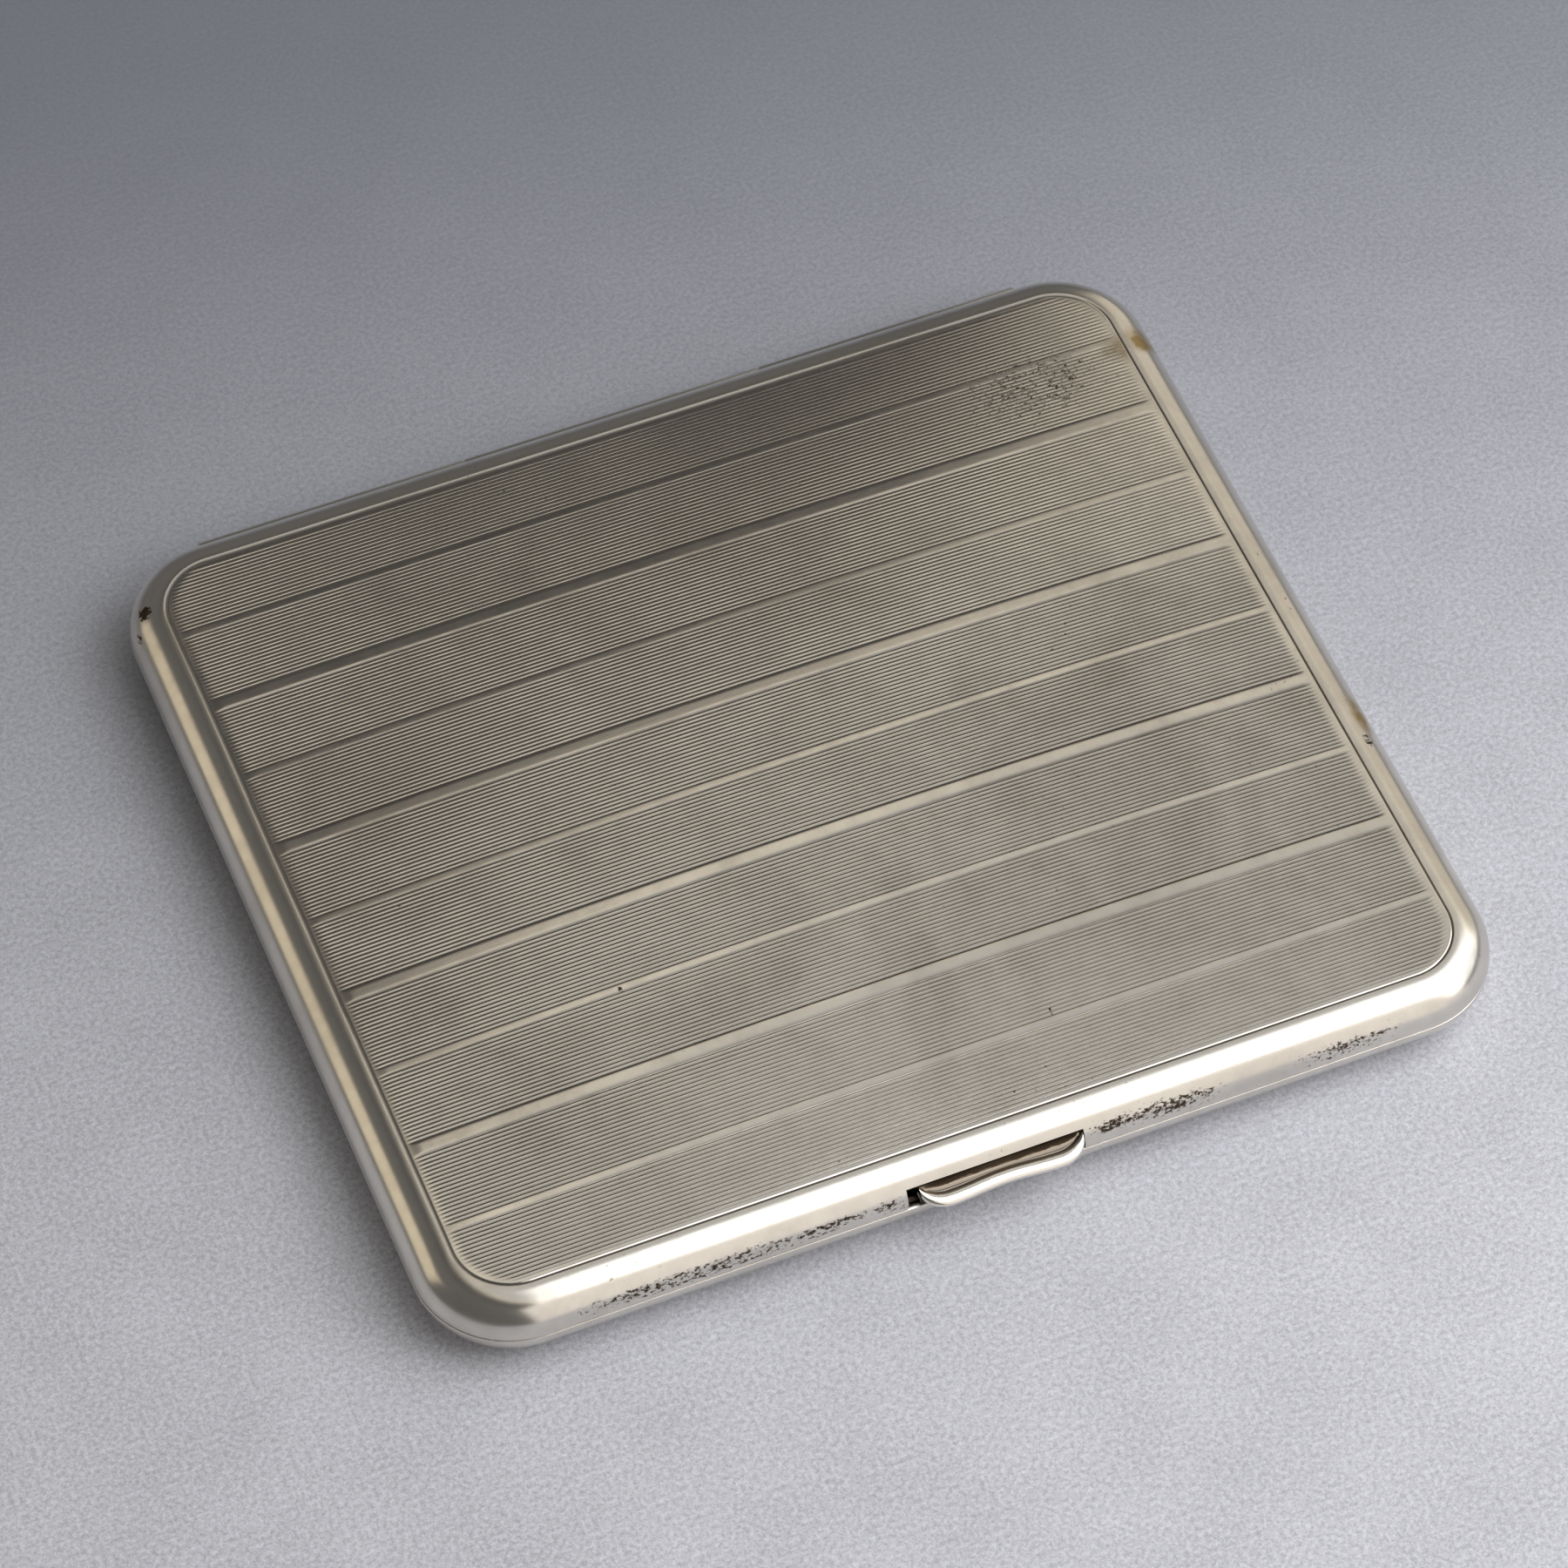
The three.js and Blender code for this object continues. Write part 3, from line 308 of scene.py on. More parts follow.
class ShellForm:
    """Shape of one shell, rim at height 0 and face above, before it is set in place."""

    corner_steps = 16
    side_steps = 30
    edge_steps = 22
    face_steps = 12
    inner_columns = 61
    plain_rows = 14
    edge_start = 0.03
    flat_soft = 0.16 * MM
    roll_width = 0.14 * MM
    roll_drop = 0.015 * MM

    # Border line, as shares of its width and depth
    groove_share = 0.7
    groove_side = [(0.28, 0.42), (0.04, 0.06)]
    # Share of tarnish and painted shade on the first step up the side of the border line
    groove_side_tarnish_and_shade = 0.8
    skirt_reach = 1.04
    skirt_drop = 1.1

    # Rounding of the rim, as shares of its size outside and inside
    outer_ease = 0.3
    inner_ease = 0.5

    # Steps across a reed and a plain stripe, and the power of their sections
    reed_section = (6, 2.0)
    stripe_section = (20, 6.0)

    # Distances of the close columns from the ends of a row
    end_places = np.array([0, 0.06, 0.14, 0.24, 0.36, 0.5, 0.65, 0.8, 0.95, 1.1, 1.3, 1.6]) * MM

    def __init__(self, sizes, reeds, crown, flat=None, sunk=0.0):
        self.sizes = sizes
        self.reeds = reeds
        self.crown = crown
        self.flat = flat
        self.sunk = sunk
        inset = sizes.edge_width + sizes.border_width
        self.face_x = sizes.length / 2 - inset
        self.face_y = sizes.width / 2 - inset
        self.face_radius = sizes.corner_radius - inset

    def dome(self, x, y):
        """Crown of the face, with a flat field in the middle where one is given."""
        lift = self.crown * (1 - (x / self.face_x) ** 2) * (1 - (y / self.face_y) ** 2)
        if self.flat is None:
            return lift
        near = np.maximum(self.flat_soft - np.abs(lift - self.flat), 0) / self.flat_soft
        return np.minimum(lift, self.flat) - near * near * self.flat_soft / 4

    def loop(self, inset, height):
        """One loop round the shell at an inset from its outline."""
        sizes = self.sizes
        plan = rounded_plan(
            sizes.length / 2 - inset, sizes.width / 2 - inset, sizes.corner_radius - inset,
            self.corner_steps, self.side_steps,
        )
        return np.column_stack([plan, np.full(len(plan), height)])

    def domed_loops(self, border, height):
        """Loops that close a border loop towards its middle, over the dome."""
        loops = []
        for step in range(1, self.face_steps):
            plan = border[:, :2] * (1 - step / self.face_steps)
            loops.append(np.column_stack([plan, height + self.dome(plan[:, 0], plan[:, 1])]))
        return loops

    def body(self):
        """Points and faces of the bent sheet, its inner faces and the share of tarnish and painted shade in
        the border line.
        """
        sizes = self.sizes
        height, width, sheet = sizes.edge_height, sizes.edge_width, sizes.sheet
        soft = sizes.rim_round
        floor = height - sizes.border_depth
        groove = self.loop(width + self.groove_share * sizes.border_width, floor)
        loops = self.domed_loops(groove, floor)[::-1] + [groove]
        groove_rings = len(loops)
        for out, down in self.groove_side:
            loops.append(self.loop(width + out * sizes.border_width, height - down * sizes.border_depth))
        lowest, highest = math.asin(soft / height), QUARTER - self.edge_start
        for step in range(self.edge_steps + 1):
            angle = highest - (highest - lowest) * step / self.edge_steps
            loops.append(self.loop(width * (1 - math.cos(angle)), height * math.sin(angle)))
        start = width * (1 - math.cos(lowest))
        loops.append(self.loop(start + self.outer_ease * soft, self.outer_ease * soft))
        loops.append(self.loop(start + soft, 0))
        outer_rings = len(loops)
        loops.append(self.loop(sheet - self.inner_ease * soft, 0))
        loops.append(self.loop(sheet, self.inner_ease * soft))
        for step in range(1, self.edge_steps + 1):
            angle = QUARTER * step / self.edge_steps
            inset = sheet + (width - sheet) * (1 - math.cos(angle))
            loops.append(self.loop(inset, (height - sheet) * math.sin(angle)))
        loops += self.domed_loops(loops[-1], height - sheet)
        count = len(loops[0])
        last = (len(loops) - 1) * count
        outer_middle = len(loops) * count
        inner_middle = outer_middle + 1
        crown = self.dome(0, 0)
        points = np.vstack(loops + [[[0, 0, floor + crown], [0, 0, height - sheet + crown]]])
        around = [(place, (place + 1) % count) for place in range(count)]
        faces = ring_faces(len(loops), count)
        faces += [(outer_middle, following, place) for place, following in around]
        inner_fan = len(faces)
        faces += [(inner_middle, last + place, last + following) for place, following in around]
        inner_from = outer_rings * count
        inner_faces = [
            index for index, face in enumerate(faces) if index >= inner_fan or min(face) >= inner_from
        ]
        depths = np.zeros(len(points))
        depths[: groove_rings * count] = 1.0
        depths[groove_rings * count : (groove_rings + 1) * count] = self.groove_side_tarnish_and_shade
        return points, faces, inner_faces, depths

    def reed_rise(self, y):
        """Height of a fine reed, which is cut deeper towards the front."""
        share = (1 - y / self.face_y) / 2
        return self.reeds.back_rise + share * (self.reeds.front_rise - self.reeds.back_rise)

    def reed_cells(self):
        """Fine reeds and plain stripes from front to back as (start, end, rise, section)."""
        reeds = self.reeds
        pitch = (reeds.spacing - reeds.narrow / 2 - reeds.wide / 2) / reeds.count
        cells = []

        def add_reeds(start, count):
            for reed in range(count):
                begin = start + reed * pitch
                cells.append((begin, begin + pitch, self.reed_rise(begin), self.reed_section))

        reach = int((self.face_y - reeds.margin - reeds.wide) / reeds.spacing)
        outer_width = reeds.narrow if reach % 2 == 0 else reeds.wide
        outer_edge = reach * reeds.spacing + outer_width / 2
        outer = int((self.face_y - reeds.margin - outer_edge) / pitch)
        add_reeds(-outer_edge - outer * pitch, outer)
        for place in range(-reach, reach + 1):
            width = reeds.narrow if place % 2 == 0 else reeds.wide
            start, end = place * reeds.spacing - width / 2, place * reeds.spacing + width / 2
            cells.append((start, end, reeds.stripe_rise * (end - start) / reeds.wide, self.stripe_section))
            add_reeds(end, reeds.count if place < reach else outer)
        return cells

    def reed_rows(self):
        """Rows across the reeds as (place, rise, share of tarnish and painted shade in the valleys)."""
        cells = self.reed_cells()
        rows = []
        for start, end, rise, section in cells:
            steps, power = section
            for step in range(steps):
                across = 2 * step / steps - 1
                if section == self.stripe_section:
                    across = math.sin(across * QUARTER)
                y = start + (end - start) * (across + 1) / 2
                rows.append((y, rise * (1 - abs(across) ** power), abs(across) ** 4))
        edge = cells[-1][1]
        rows.append((edge, 0.0, 1.0))
        plain = []
        for step in range(1, self.plain_rows + 1):
            share = math.sin(step / self.plain_rows * QUARTER)
            plain.append((edge + (self.face_y - edge) * share, 0.0, 0.0))
        return [(-y, rise, groove) for y, rise, groove in plain[::-1]] + rows + plain

    def wear(self, x, y, from_end):
        """Share of the reeds' height that is left, at their ends and towards one corner."""
        fade = np.clip((from_end - self.reeds.end_margin) / self.reeds.end_fade, 0, 1)
        corner = np.maximum(x, 0) * max(y, 0) / (self.face_x * self.face_y)
        return fade * fade * (3 - 2 * fade) * (1 - self.reeds.corner_wear * np.sqrt(corner))

    def roll(self, from_edge):
        """Drop of the face close to its edge."""
        return np.clip(1 - from_edge / self.roll_width, 0, 1) ** 2 * self.roll_drop

    def face(self):
        """Points, faces and tarnish-and-shade shares of the reeded face, with its skirt in the border line.
        """
        sizes, ends = self.sizes, self.end_places
        inner = np.linspace(-1, 1, self.inner_columns)[1:-1]
        rows = self.reed_rows()
        points, grooves = [], []
        for y, rise, groove in rows:
            over = max(0.0, abs(y) - self.face_y + self.face_radius)
            reach = self.face_x - self.face_radius + math.sqrt(max(0.0, self.face_radius**2 - over**2))
            x = np.concatenate([-(reach - ends), inner * (reach - ends[-1]), (reach - ends)[::-1]])
            from_end = reach - np.abs(x)
            left = self.wear(x, y, from_end)
            roll = np.minimum(self.roll(from_end) + self.roll(self.face_y - abs(y)), self.roll_drop)
            height = sizes.edge_height + self.dome(x, y) + (rise - self.sunk) * left - roll
            points.append(np.column_stack([x, np.full_like(x, y), height]))
            grooves.append(groove * left)
        columns = len(points[0])
        grid = np.vstack(points)
        faces = ring_faces(len(rows), columns, closed=False)
        last = (len(rows) - 1) * columns
        rim = list(range(columns))
        rim += [row * columns + columns - 1 for row in range(1, len(rows))]
        rim += [last + column for column in range(columns - 2, -1, -1)]
        rim += [row * columns for row in range(len(rows) - 2, 0, -1)]
        skirt = grid[rim]
        straight = np.array([self.face_x, self.face_y]) - self.face_radius
        outward = np.maximum(0, np.abs(skirt[:, :2]) - straight) * np.sign(skirt[:, :2])
        outward /= np.linalg.norm(outward, axis=1)[:, None]
        skirt[:, :2] += outward * (self.skirt_reach - self.groove_share) * sizes.border_width
        skirt[:, 2] = sizes.edge_height - self.skirt_drop * sizes.border_depth
        first = len(grid)
        for place in range(len(rim)):
            following = (place + 1) % len(rim)
            faces.append((rim[place], first + place, first + following, rim[following]))
        depths = np.concatenate([*grooves, np.ones(len(rim))])
        return np.vstack([grid, skirt]), faces, depths


def set_in_place(points, rim_z, over):
    """Moves a shell's points to its rim, turned over for the base."""
    placed = np.array(points, float)
    if over:
        placed[:, 1:] *= -1
    return placed + np.array([0, MIDDLE_Y, rim_z])


def hinge_cutters(sizes, own, other):
    """Room for a shell's own tubes and for the tubes that turn in it."""
    cutters = []
    for names, gap in ((own, sizes.tube_seat), (other, sizes.tube_room)):
        side = min(gap, sizes.tube_end_gap)
        radius = TUBE_RADIUS + gap
        for name in names:
            low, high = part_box(name)
            start, end = low.x - side, high.x + side
            profile = [(start, 0), (start, radius), (end, radius), (end, 0)]
            cutters.append(turned("cutter", profile, "X", HINGE_LINE, 64, 30))
    return cutters


def build_shell(name, body, form, rim_z, over, cutters, materials):
    """The bent sheet and the reeded face of one shell, as two objects."""
    sheet_crease, face_crease = 32, 24
    reeded, edge, inside = materials
    points, faces, inner_faces, depths = form.body()
    placed = set_in_place(points, rim_z, over)
    sheet = mesh_object(f"{name}_body", placed, faces, sheet_crease, edge, inside)
    note_values(sheet, "groove", depths)
    for index in inner_faces:
        sheet.data.polygons[index].material_index = 1
    cut_away(sheet, cutters, sheet_crease)
    points, faces, depths = form.face()
    face = mesh_object(f"{name}_face", set_in_place(points, rim_z, over), faces, face_crease, reeded)
    if face.data.polygons[len(face.data.polygons) // 2].normal.z * (-1 if over else 1) < 0:
        face.data.flip_normals()
    note_values(face, "groove", depths)
    settle(sheet, body, "case_silver", name)
    settle(face, body, "case_silver")


# Node tools


class Nodes:
    """Adds nodes to one node tree."""

    def __init__(self, tree):
        self.tree = tree

    def feed(self, socket, value):
        """Links or sets an input."""
        if isinstance(value, bpy.types.NodeSocket):
            self.tree.links.new(value, socket)
        else:
            socket.default_value = value

    def add(self, kind, inputs=None, **settings):
        """A node with its settings and inputs."""
        node = self.tree.nodes.new(kind)
        for name, value in settings.items():
            setattr(node, name, value)
        for name, value in (inputs or {}).items():
            self.feed(node.inputs[name], value)
        return node

    def calc(self, operation, first, second, clamp=False):
        """A math node's result."""
        node = self.add("ShaderNodeMath", {0: first, 1: second}, operation=operation, use_clamp=clamp)
        return node.outputs[0]

    def plus(self, base, value, weight, clamp=False):
        """A base with a weighted value added."""
        return self.calc("ADD", base, self.calc("MULTIPLY", value, weight), clamp)

    def dot(self, where, direction):
        """How far a place lies along a direction."""
        node = self.add("ShaderNodeVectorMath", {0: where, 1: direction}, operation="DOT_PRODUCT")
        return node.outputs["Value"]

    def spread(self, value, low, high, to_low=0.0, to_high=1.0):
        """A value mapped smoothly from one range to another."""
        node = self.add(
            "ShaderNodeMapRange",
            {"Value": value, "From Min": low, "From Max": high, "To Min": to_low, "To Max": to_high},
            interpolation_type="SMOOTHSTEP",
        )
        return node.outputs["Result"]

    def blend(self, share, first, second):
        """Two colours mixed by a share."""
        node = self.add("ShaderNodeMix", {0: share}, data_type="RGBA")
        for socket, value in ((node.inputs[6], first), (node.inputs[7], second)):
            self.feed(socket, value if isinstance(value, bpy.types.NodeSocket) else (*value, 1))
        return node.outputs[2]


class Finish(Nodes):
    """A node material with its shader and its object coordinates."""

    def __init__(self, name, metallic):
        self.material = bpy.data.materials.new(name)
        self.material.use_nodes = True
        super().__init__(self.material.node_tree)
        self.shader = self.tree.nodes["Principled BSDF"]
        self.where = self.add("ShaderNodeTexCoord").outputs["Object"]
        self.set("Metallic", metallic)

    def set(self, name, value):
        """Links or sets one of the shader's inputs."""
        self.feed(self.shader.inputs[name], value)

    def note(self, name):
        """A number that was kept for each point of the mesh."""
        return self.add("ShaderNodeAttribute", attribute_name=name).outputs["Fac"]

    def noise(self, scale, detail=4.0, roughness=0.55, distortion=0.0, where=None):
        """A noise value."""
        inputs = {"Scale": scale, "Detail": detail, "Roughness": roughness, "Distortion": distortion}
        inputs["Vector"] = self.where if where is None else where
        return self.add("ShaderNodeTexNoise", inputs).outputs["Fac"]

    def streaks(self, scale, turn=0.0):
        """Coordinates scaled unevenly, for streaks."""
        inputs = {"Vector": self.where, "Scale": scale, "Rotation": (0, 0, turn)}
        return self.add("ShaderNodeMapping", inputs).outputs["Vector"]

    def grain(self, scale, turn=0.0, detail=2.0):
        """Fine lines from noise that is scaled unevenly."""
        return self.noise(1.0, detail, where=self.streaks(scale, turn))

    def patch(self, place, reach):
        """A soft oval patch about a place in millimetres, as a share."""
        scale = [1 / (length * MM) for length in reach]
        shift = [-spot * MM * each for spot, each in zip(place, scale)]
        moved = self.add("ShaderNodeMapping", {"Vector": self.where, "Scale": scale, "Location": shift})
        size = self.add("ShaderNodeVectorMath", {0: moved.outputs["Vector"]}, operation="LENGTH")
        return self.spread(size.outputs["Value"], 1.0, 0.2)

    def patches(self, marks):
        """Soft oval patches as one share, from (place, reach, weight) in millimetres."""
        total = 0.0
        for place, reach, weight in marks:
            total = self.plus(total, self.patch(place, reach), weight)
        return total

    def bump(self, height, distance, strength):
        """Surface relief from a height in 0 to 1."""
        node = self.add("ShaderNodeBump", {"Height": height, "Distance": distance, "Strength": strength})
        self.set("Normal", node.outputs["Normal"])


def shaded(colour, shade):
    """A colour with each of its parts times a shade."""
    return tuple(part * each for part, each in zip(colour, shade))


def tarnished_silver(name, finishes, roughness, flakes=(), stains=()):
    """Worn silver: tarnish clouds, specks, scratches, grooves dark with tarnish and painted shade, ragged
    flakes.
    """
    metal = Finish(name, 1.0)
    clouds = metal.spread(metal.noise(55.0, 6.0, 0.62, 0.6), 0.38, 0.78)
    mottle = metal.spread(metal.noise(420.0, 5.0, 0.6), 0.35, 0.75)
    specks = metal.spread(metal.noise(2100.0, 2.0, 0.5), 0.69, 0.76)
    herd = metal.spread(metal.noise(70.0, 3.0, 0.5), 0.52, 0.72)
    specks = metal.calc("MULTIPLY", specks, herd)
    # Tarnish and painted shade in the border line and in the valleys between the reeds
    groove_tarnish_and_shade = metal.calc("MULTIPLY", metal.note("groove"), metal.plus(0.45, clouds, 0.4))
    brown = metal.plus(metal.calc("MULTIPLY", clouds, 0.16), mottle, 0.10)
    brown = metal.calc("ADD", metal.plus(brown, specks, 0.55), groove_tarnish_and_shade, clamp=True)
    colour = metal.blend(brown, finishes.silver, finishes.tarnish)
    rough = metal.plus(metal.plus(roughness, mottle, 0.04), clouds, 0.04)
    if stains:
        soaked = metal.calc("MULTIPLY", metal.patches(stains), metal.plus(0.4, mottle, 0.8), clamp=True)
        colour = metal.blend(soaked, colour, finishes.stain)
        rough = metal.plus(rough, soaked, 0.2)
    pits = specks
    if flakes:
        ragged = metal.noise(3700.0, 6.0, 0.72, where=metal.streaks((0.6, 1, 1)))
        inside = metal.calc("SUBTRACT", metal.patches(flakes), 1.0)
        dark = metal.spread(metal.plus(ragged, inside, 0.3), 0.50, 0.58)
        colour = metal.blend(dark, colour, finishes.soot)
        rough = metal.plus(rough, dark, 0.35)
        pits = metal.calc("ADD", specks, dark)
    metal.set("Base Color", colour)
    metal.set("Roughness", rough)
    fine = metal.grain((900, 14000, 9000), 0.12)
    cross = metal.grain((11000, 700, 9000), 0.5)
    relief = metal.plus(metal.calc("MULTIPLY", fine, 0.5), cross, 0.3)
    metal.bump(metal.plus(relief, pits, -0.8), 0.006 * MM, 0.5)
    return metal.material


def satin_silver(name, colour, roughness):
    """Cleaner silver with a satin grain, for what is inside."""
    metal = Finish(name, 1.0)
    clouds = metal.spread(metal.noise(80.0, 5.0, 0.6, 0.4), 0.35, 0.8)
    grain = metal.grain((600, 9000, 9000), detail=3.0)
    metal.set("Base Color", metal.blend(clouds, colour, shaded(colour, (0.86, 0.83, 0.77))))
    metal.set("Roughness", metal.plus(roughness, grain, 0.12))
    metal.bump(grain, 0.004 * MM, 0.6)
    return metal.material


def drawn_metal(name, colour, roughness):
    """Drawn wire, strip or turned metal with fine lines and a few darker stains."""
    metal = Finish(name, 1.0)
    stains = metal.spread(metal.noise(700.0, 4.0, 0.6), 0.45, 0.8)
    metal.set("Base Color", metal.blend(stains, colour, shaded(colour, (0.45, 0.45, 0.45))))
    metal.set("Roughness", metal.plus(roughness, stains, 0.2))
    metal.bump(metal.grain((300, 16000, 16000)), 0.004 * MM, 0.7)
    return metal.material


def thumb_silver(name, finishes):
    """Polished silver, nearly black where the hollow is never rubbed."""
    metal = Finish(name, 1.0)
    soot = metal.note("soot")
    ragged = metal.noise(1500.0, 6.0, 0.7, where=metal.streaks((0.5, 1, 1)))
    dark = metal.spread(metal.plus(soot, ragged, 0.8), 0.74, 0.88)
    warm = metal.spread(metal.noise(600.0, 4.0, 0.6), 0.4, 0.75)
    bright = shaded(finishes.silver, (1.15, 1.15, 1.15))
    rubbed = metal.blend(metal.calc("MULTIPLY", warm, 0.35), bright, finishes.silver)
    dull = metal.spread(soot, 0.02, 0.12, 0.0, 0.92)
    rubbed = metal.blend(dull, rubbed, finishes.tarnish)
    metal.set("Base Color", metal.blend(dark, rubbed, finishes.soot))
    metal.set("Roughness", metal.plus(0.16, dark, 0.3))
    metal.bump(metal.grain((1200, 9000, 9000)), 0.005 * MM, 0.5)
    return metal.material


def elastic_weave(name, finishes):
    """Woven elastic with fine cross threads over its lengthwise ribs."""
    cloth = Finish(name, 0.0)
    threads = cloth.add(
        "ShaderNodeTexWave",
        {"Vector": cloth.where, "Scale": 900.0, "Distortion": 0.6, "Detail": 2.0, "Detail Scale": 1.5},
        wave_type="BANDS", bands_direction="X", wave_profile="SIN",
    ).outputs["Fac"]
    fuzz = cloth.noise(5200.0, 3.0, 0.6)
    wear = cloth.spread(cloth.noise(190.0, 4.0, 0.6), 0.45, 0.8)
    pale = tuple(part * 2.4 + 0.01 for part in finishes.elastic)
    share = cloth.plus(cloth.calc("MULTIPLY", threads, 0.55), wear, 0.35, clamp=True)
    share = cloth.plus(share, cloth.note("groove"), -0.8, clamp=True)
    cloth.set("Base Color", cloth.blend(share, finishes.elastic, pale))
    cloth.set("Roughness", 0.82)
    cloth.set("Sheen Weight", 0.25)
    cloth.set("Sheen Roughness", 0.4)
    cloth.bump(cloth.plus(threads, fuzz, 0.5), 0.05 * MM, 0.8)
    return cloth.material


def table_top(name, finishes):
    """Plain pale table top with a fine speckled grain, and painted shade that darkens it towards the back."""
    table = Finish(name, 0.0)
    speckle = table.noise(2300.0, 4.0, 0.85)
    drift = table.noise(90.0, 4.0, 0.55)
    grain = table.plus(table.calc("MULTIPLY", speckle, 0.88), drift, 0.12)
    coarse = shaded(finishes.floor, (0.5, 0.5, 0.5))
    surface = table.blend(table.spread(grain, 0.28, 0.72), coarse, finishes.floor)
    # Painted shade: the colour darkens towards the back and a little to the left, standing in for the
    # fall-off of the light
    across = table.dot(table.where, (-0.15, -0.99, 0))
    painted_shade_share = table.spread(across, -0.12, 0.06, 0.9, 0.0)
    painted_shade_colour = shaded(finishes.floor, (0.225, 0.24, 0.265))
    table.set("Base Color", table.blend(painted_shade_share, surface, painted_shade_colour))
    table.set("Roughness", 0.6)
    table.set("Specular IOR Level", 0.3)
    table.bump(speckle, 0.03 * MM, 0.4)
    return table.material


def shared_material(name, make, *arguments):
    """A material by name, made the first time it is asked for."""
    return bpy.data.materials.get(name) or make(name, *arguments)


def inside_silver(finishes):
    """Finish of what is inside the case."""
    return shared_material("Inside silver", satin_silver, tuple(finishes.inside), 0.24)


def drawn_steel(finishes):
    """Finish of the pin and the spring."""
    return shared_material("Drawn steel", drawn_metal, tuple(finishes.steel), 0.3)


# Finishing of the pieces


def soften(node, width):
    """Small bevels on a plain stamped piece of the frame."""
    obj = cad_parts[node]
    obj.data.shade_flat()
    joined = obj.modifiers.new("joined corners", "WELD")
    joined.merge_threshold = 0.001 * MM
    modifier = obj.modifiers.new("soft edges", "BEVEL")
    modifier.width = width
    modifier.segments = 2
    modifier.limit_method = "ANGLE"
    modifier.angle_limit = math.radians(40)
    modifier.harden_normals = False


def paint(node, material):
    """Gives a piece of the frame its finish."""
    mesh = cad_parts[node].data
    mesh.materials.clear()
    mesh.materials.append(material)


def settle(obj, body, slot, *nodes):
    """Ties a piece to its body and hides the solids that it stands for. The slot is not used."""
    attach(obj, body)
    if nodes:
        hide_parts(*nodes)


# Operators, one for each piece or group of like pieces


class CASE_OT_lid_shell(bpy.types.Operator):
    """Lid shell with its reeded face, its thumb notch and its hinge seat"""

    bl_idname = "case.lid_shell"
    bl_label = "Lid shell"

    # Marks as place, reach and weight, in millimetres
    face_flakes = [
        ((35.0, 30.5, 7.8), (15.0, 8.5, 3.0), 0.92), ((9.6, -31.6, 8.1), (0.25, 1.6, 1.0), 1.2),
        ((-22.7, -16.3, 8.4), (0.5, 0.9, 1.0), 1.1), ((-12.0, -38.6, 7.8), (1.2, 0.7, 1.0), 0.9),
        ((40.2, -5.8, 8.2), (0.2, 1.2, 1.0), 1.2), ((35.5, -14.8, 8.3), (0.2, 1.0, 1.0), 1.2),
        ((3.7, -37.9, 7.8), (0.25, 1.3, 1.0), 1.1),
    ]
    face_stains = [((44.6, 31.8, 7.7), (2.8, 2.4, 2.0), 1.3)]
    edge_flakes = [
        ((-8.9, -42.9, 5.5), (2.6, 1.4, 2.0), 0.75), ((-25.0, -42.9, 5.6), (22.0, 1.5, 1.3), 1.04),
        ((-13.5, -42.9, 5.5), (5.0, 1.4, 1.2), 0.42), ((-34.0, -42.9, 5.6), (6.0, 1.4, 1.1), 0.25),
        ((-23.0, -42.9, 4.8), (26.0, 1.4, 0.5), 0.4), ((15.0, -42.7, 5.8), (10.5, 1.6, 1.5), 1.2),
        ((9.4, -42.7, 6.0), (3.0, 1.6, 1.3), 0.4), ((32.0, -42.8, 5.7), (10.0, 1.4, 1.3), 1.08),
        ((26.0, -42.9, 4.8), (22.0, 1.4, 0.5), 0.55), ((-46.3, 36.9, 7.1), (1.4, 1.5, 1.3), 1.5),
        ((-47.4, 35.0, 6.3), (0.5, 1.3, 0.9), 1.2), ((-45.5, 26.9, 7.6), (0.7, 1.4, 0.7), 1.0),
        ((46.2, -15.9, 7.3), (1.0, 1.6, 1.0), 1.2), ((42.8, -24.7, 7.7), (0.6, 0.6, 0.6), 1.3),
        ((40.5, -40.5, 6.6), (2.0, 2.0, 1.4), 0.9),
    ]
    edge_stains = [((46.8, -12.8, 6.9), (1.2, 3.4, 1.4), 1.2), ((46.4, 32.4, 7.0), (2.2, 2.1, 1.8), 1.4)]

    def execute(self, context):
        scene = context.scene
        sizes, finishes = scene.case_shells, scene.case_finishes
        form = ShellForm(sizes, scene.case_reeds, sizes.lid_crown)
        half = (THUMB_HIGH.x - THUMB_LOW.x + sizes.thumb_travel) / 2 + sizes.notch_gap
        low = (-half, FRONT_Y - OVERCUT, LID_LOW.z - OVERCUT)
        high = (half, FRONT_Y + sizes.edge_width, THUMB_HIGH.z + sizes.notch_gap)
        cutters = [box_cutter(low, high), *hinge_cutters(sizes, LID_TUBES, BASE_TUBES)]
        materials = [
            tarnished_silver("Reeded silver", finishes, 0.12, self.face_flakes, self.face_stains),
            tarnished_silver("Lid edge silver", finishes, 0.2, self.edge_flakes, self.edge_stains),
            inside_silver(finishes),
        ]
        build_shell("lid_shell", "lid", form, LID_LOW.z, False, cutters, materials)
        return {"FINISHED"}


class CASE_OT_base_shell(bpy.types.Operator):
    """Base shell with its reeded underside and its hinge seats"""

    bl_idname = "case.base_shell"
    bl_label = "Base shell"

    def execute(self, context):
        scene = context.scene
        sizes, reeds, finishes = scene.case_shells, scene.case_reeds, scene.case_finishes
        form = ShellForm(sizes, reeds, sizes.base_crown, sizes.base_flat, reeds.stripe_rise)
        materials = [
            bpy.data.materials["Reeded silver"],
            tarnished_silver("Base edge silver", finishes, 0.22),
            inside_silver(finishes),
        ]
        cutters = hinge_cutters(sizes, BASE_TUBES, LID_TUBES)
        build_shell("base_shell", "base", form, BASE_HIGH.z, True, cutters, materials)
        return {"FINISHED"}


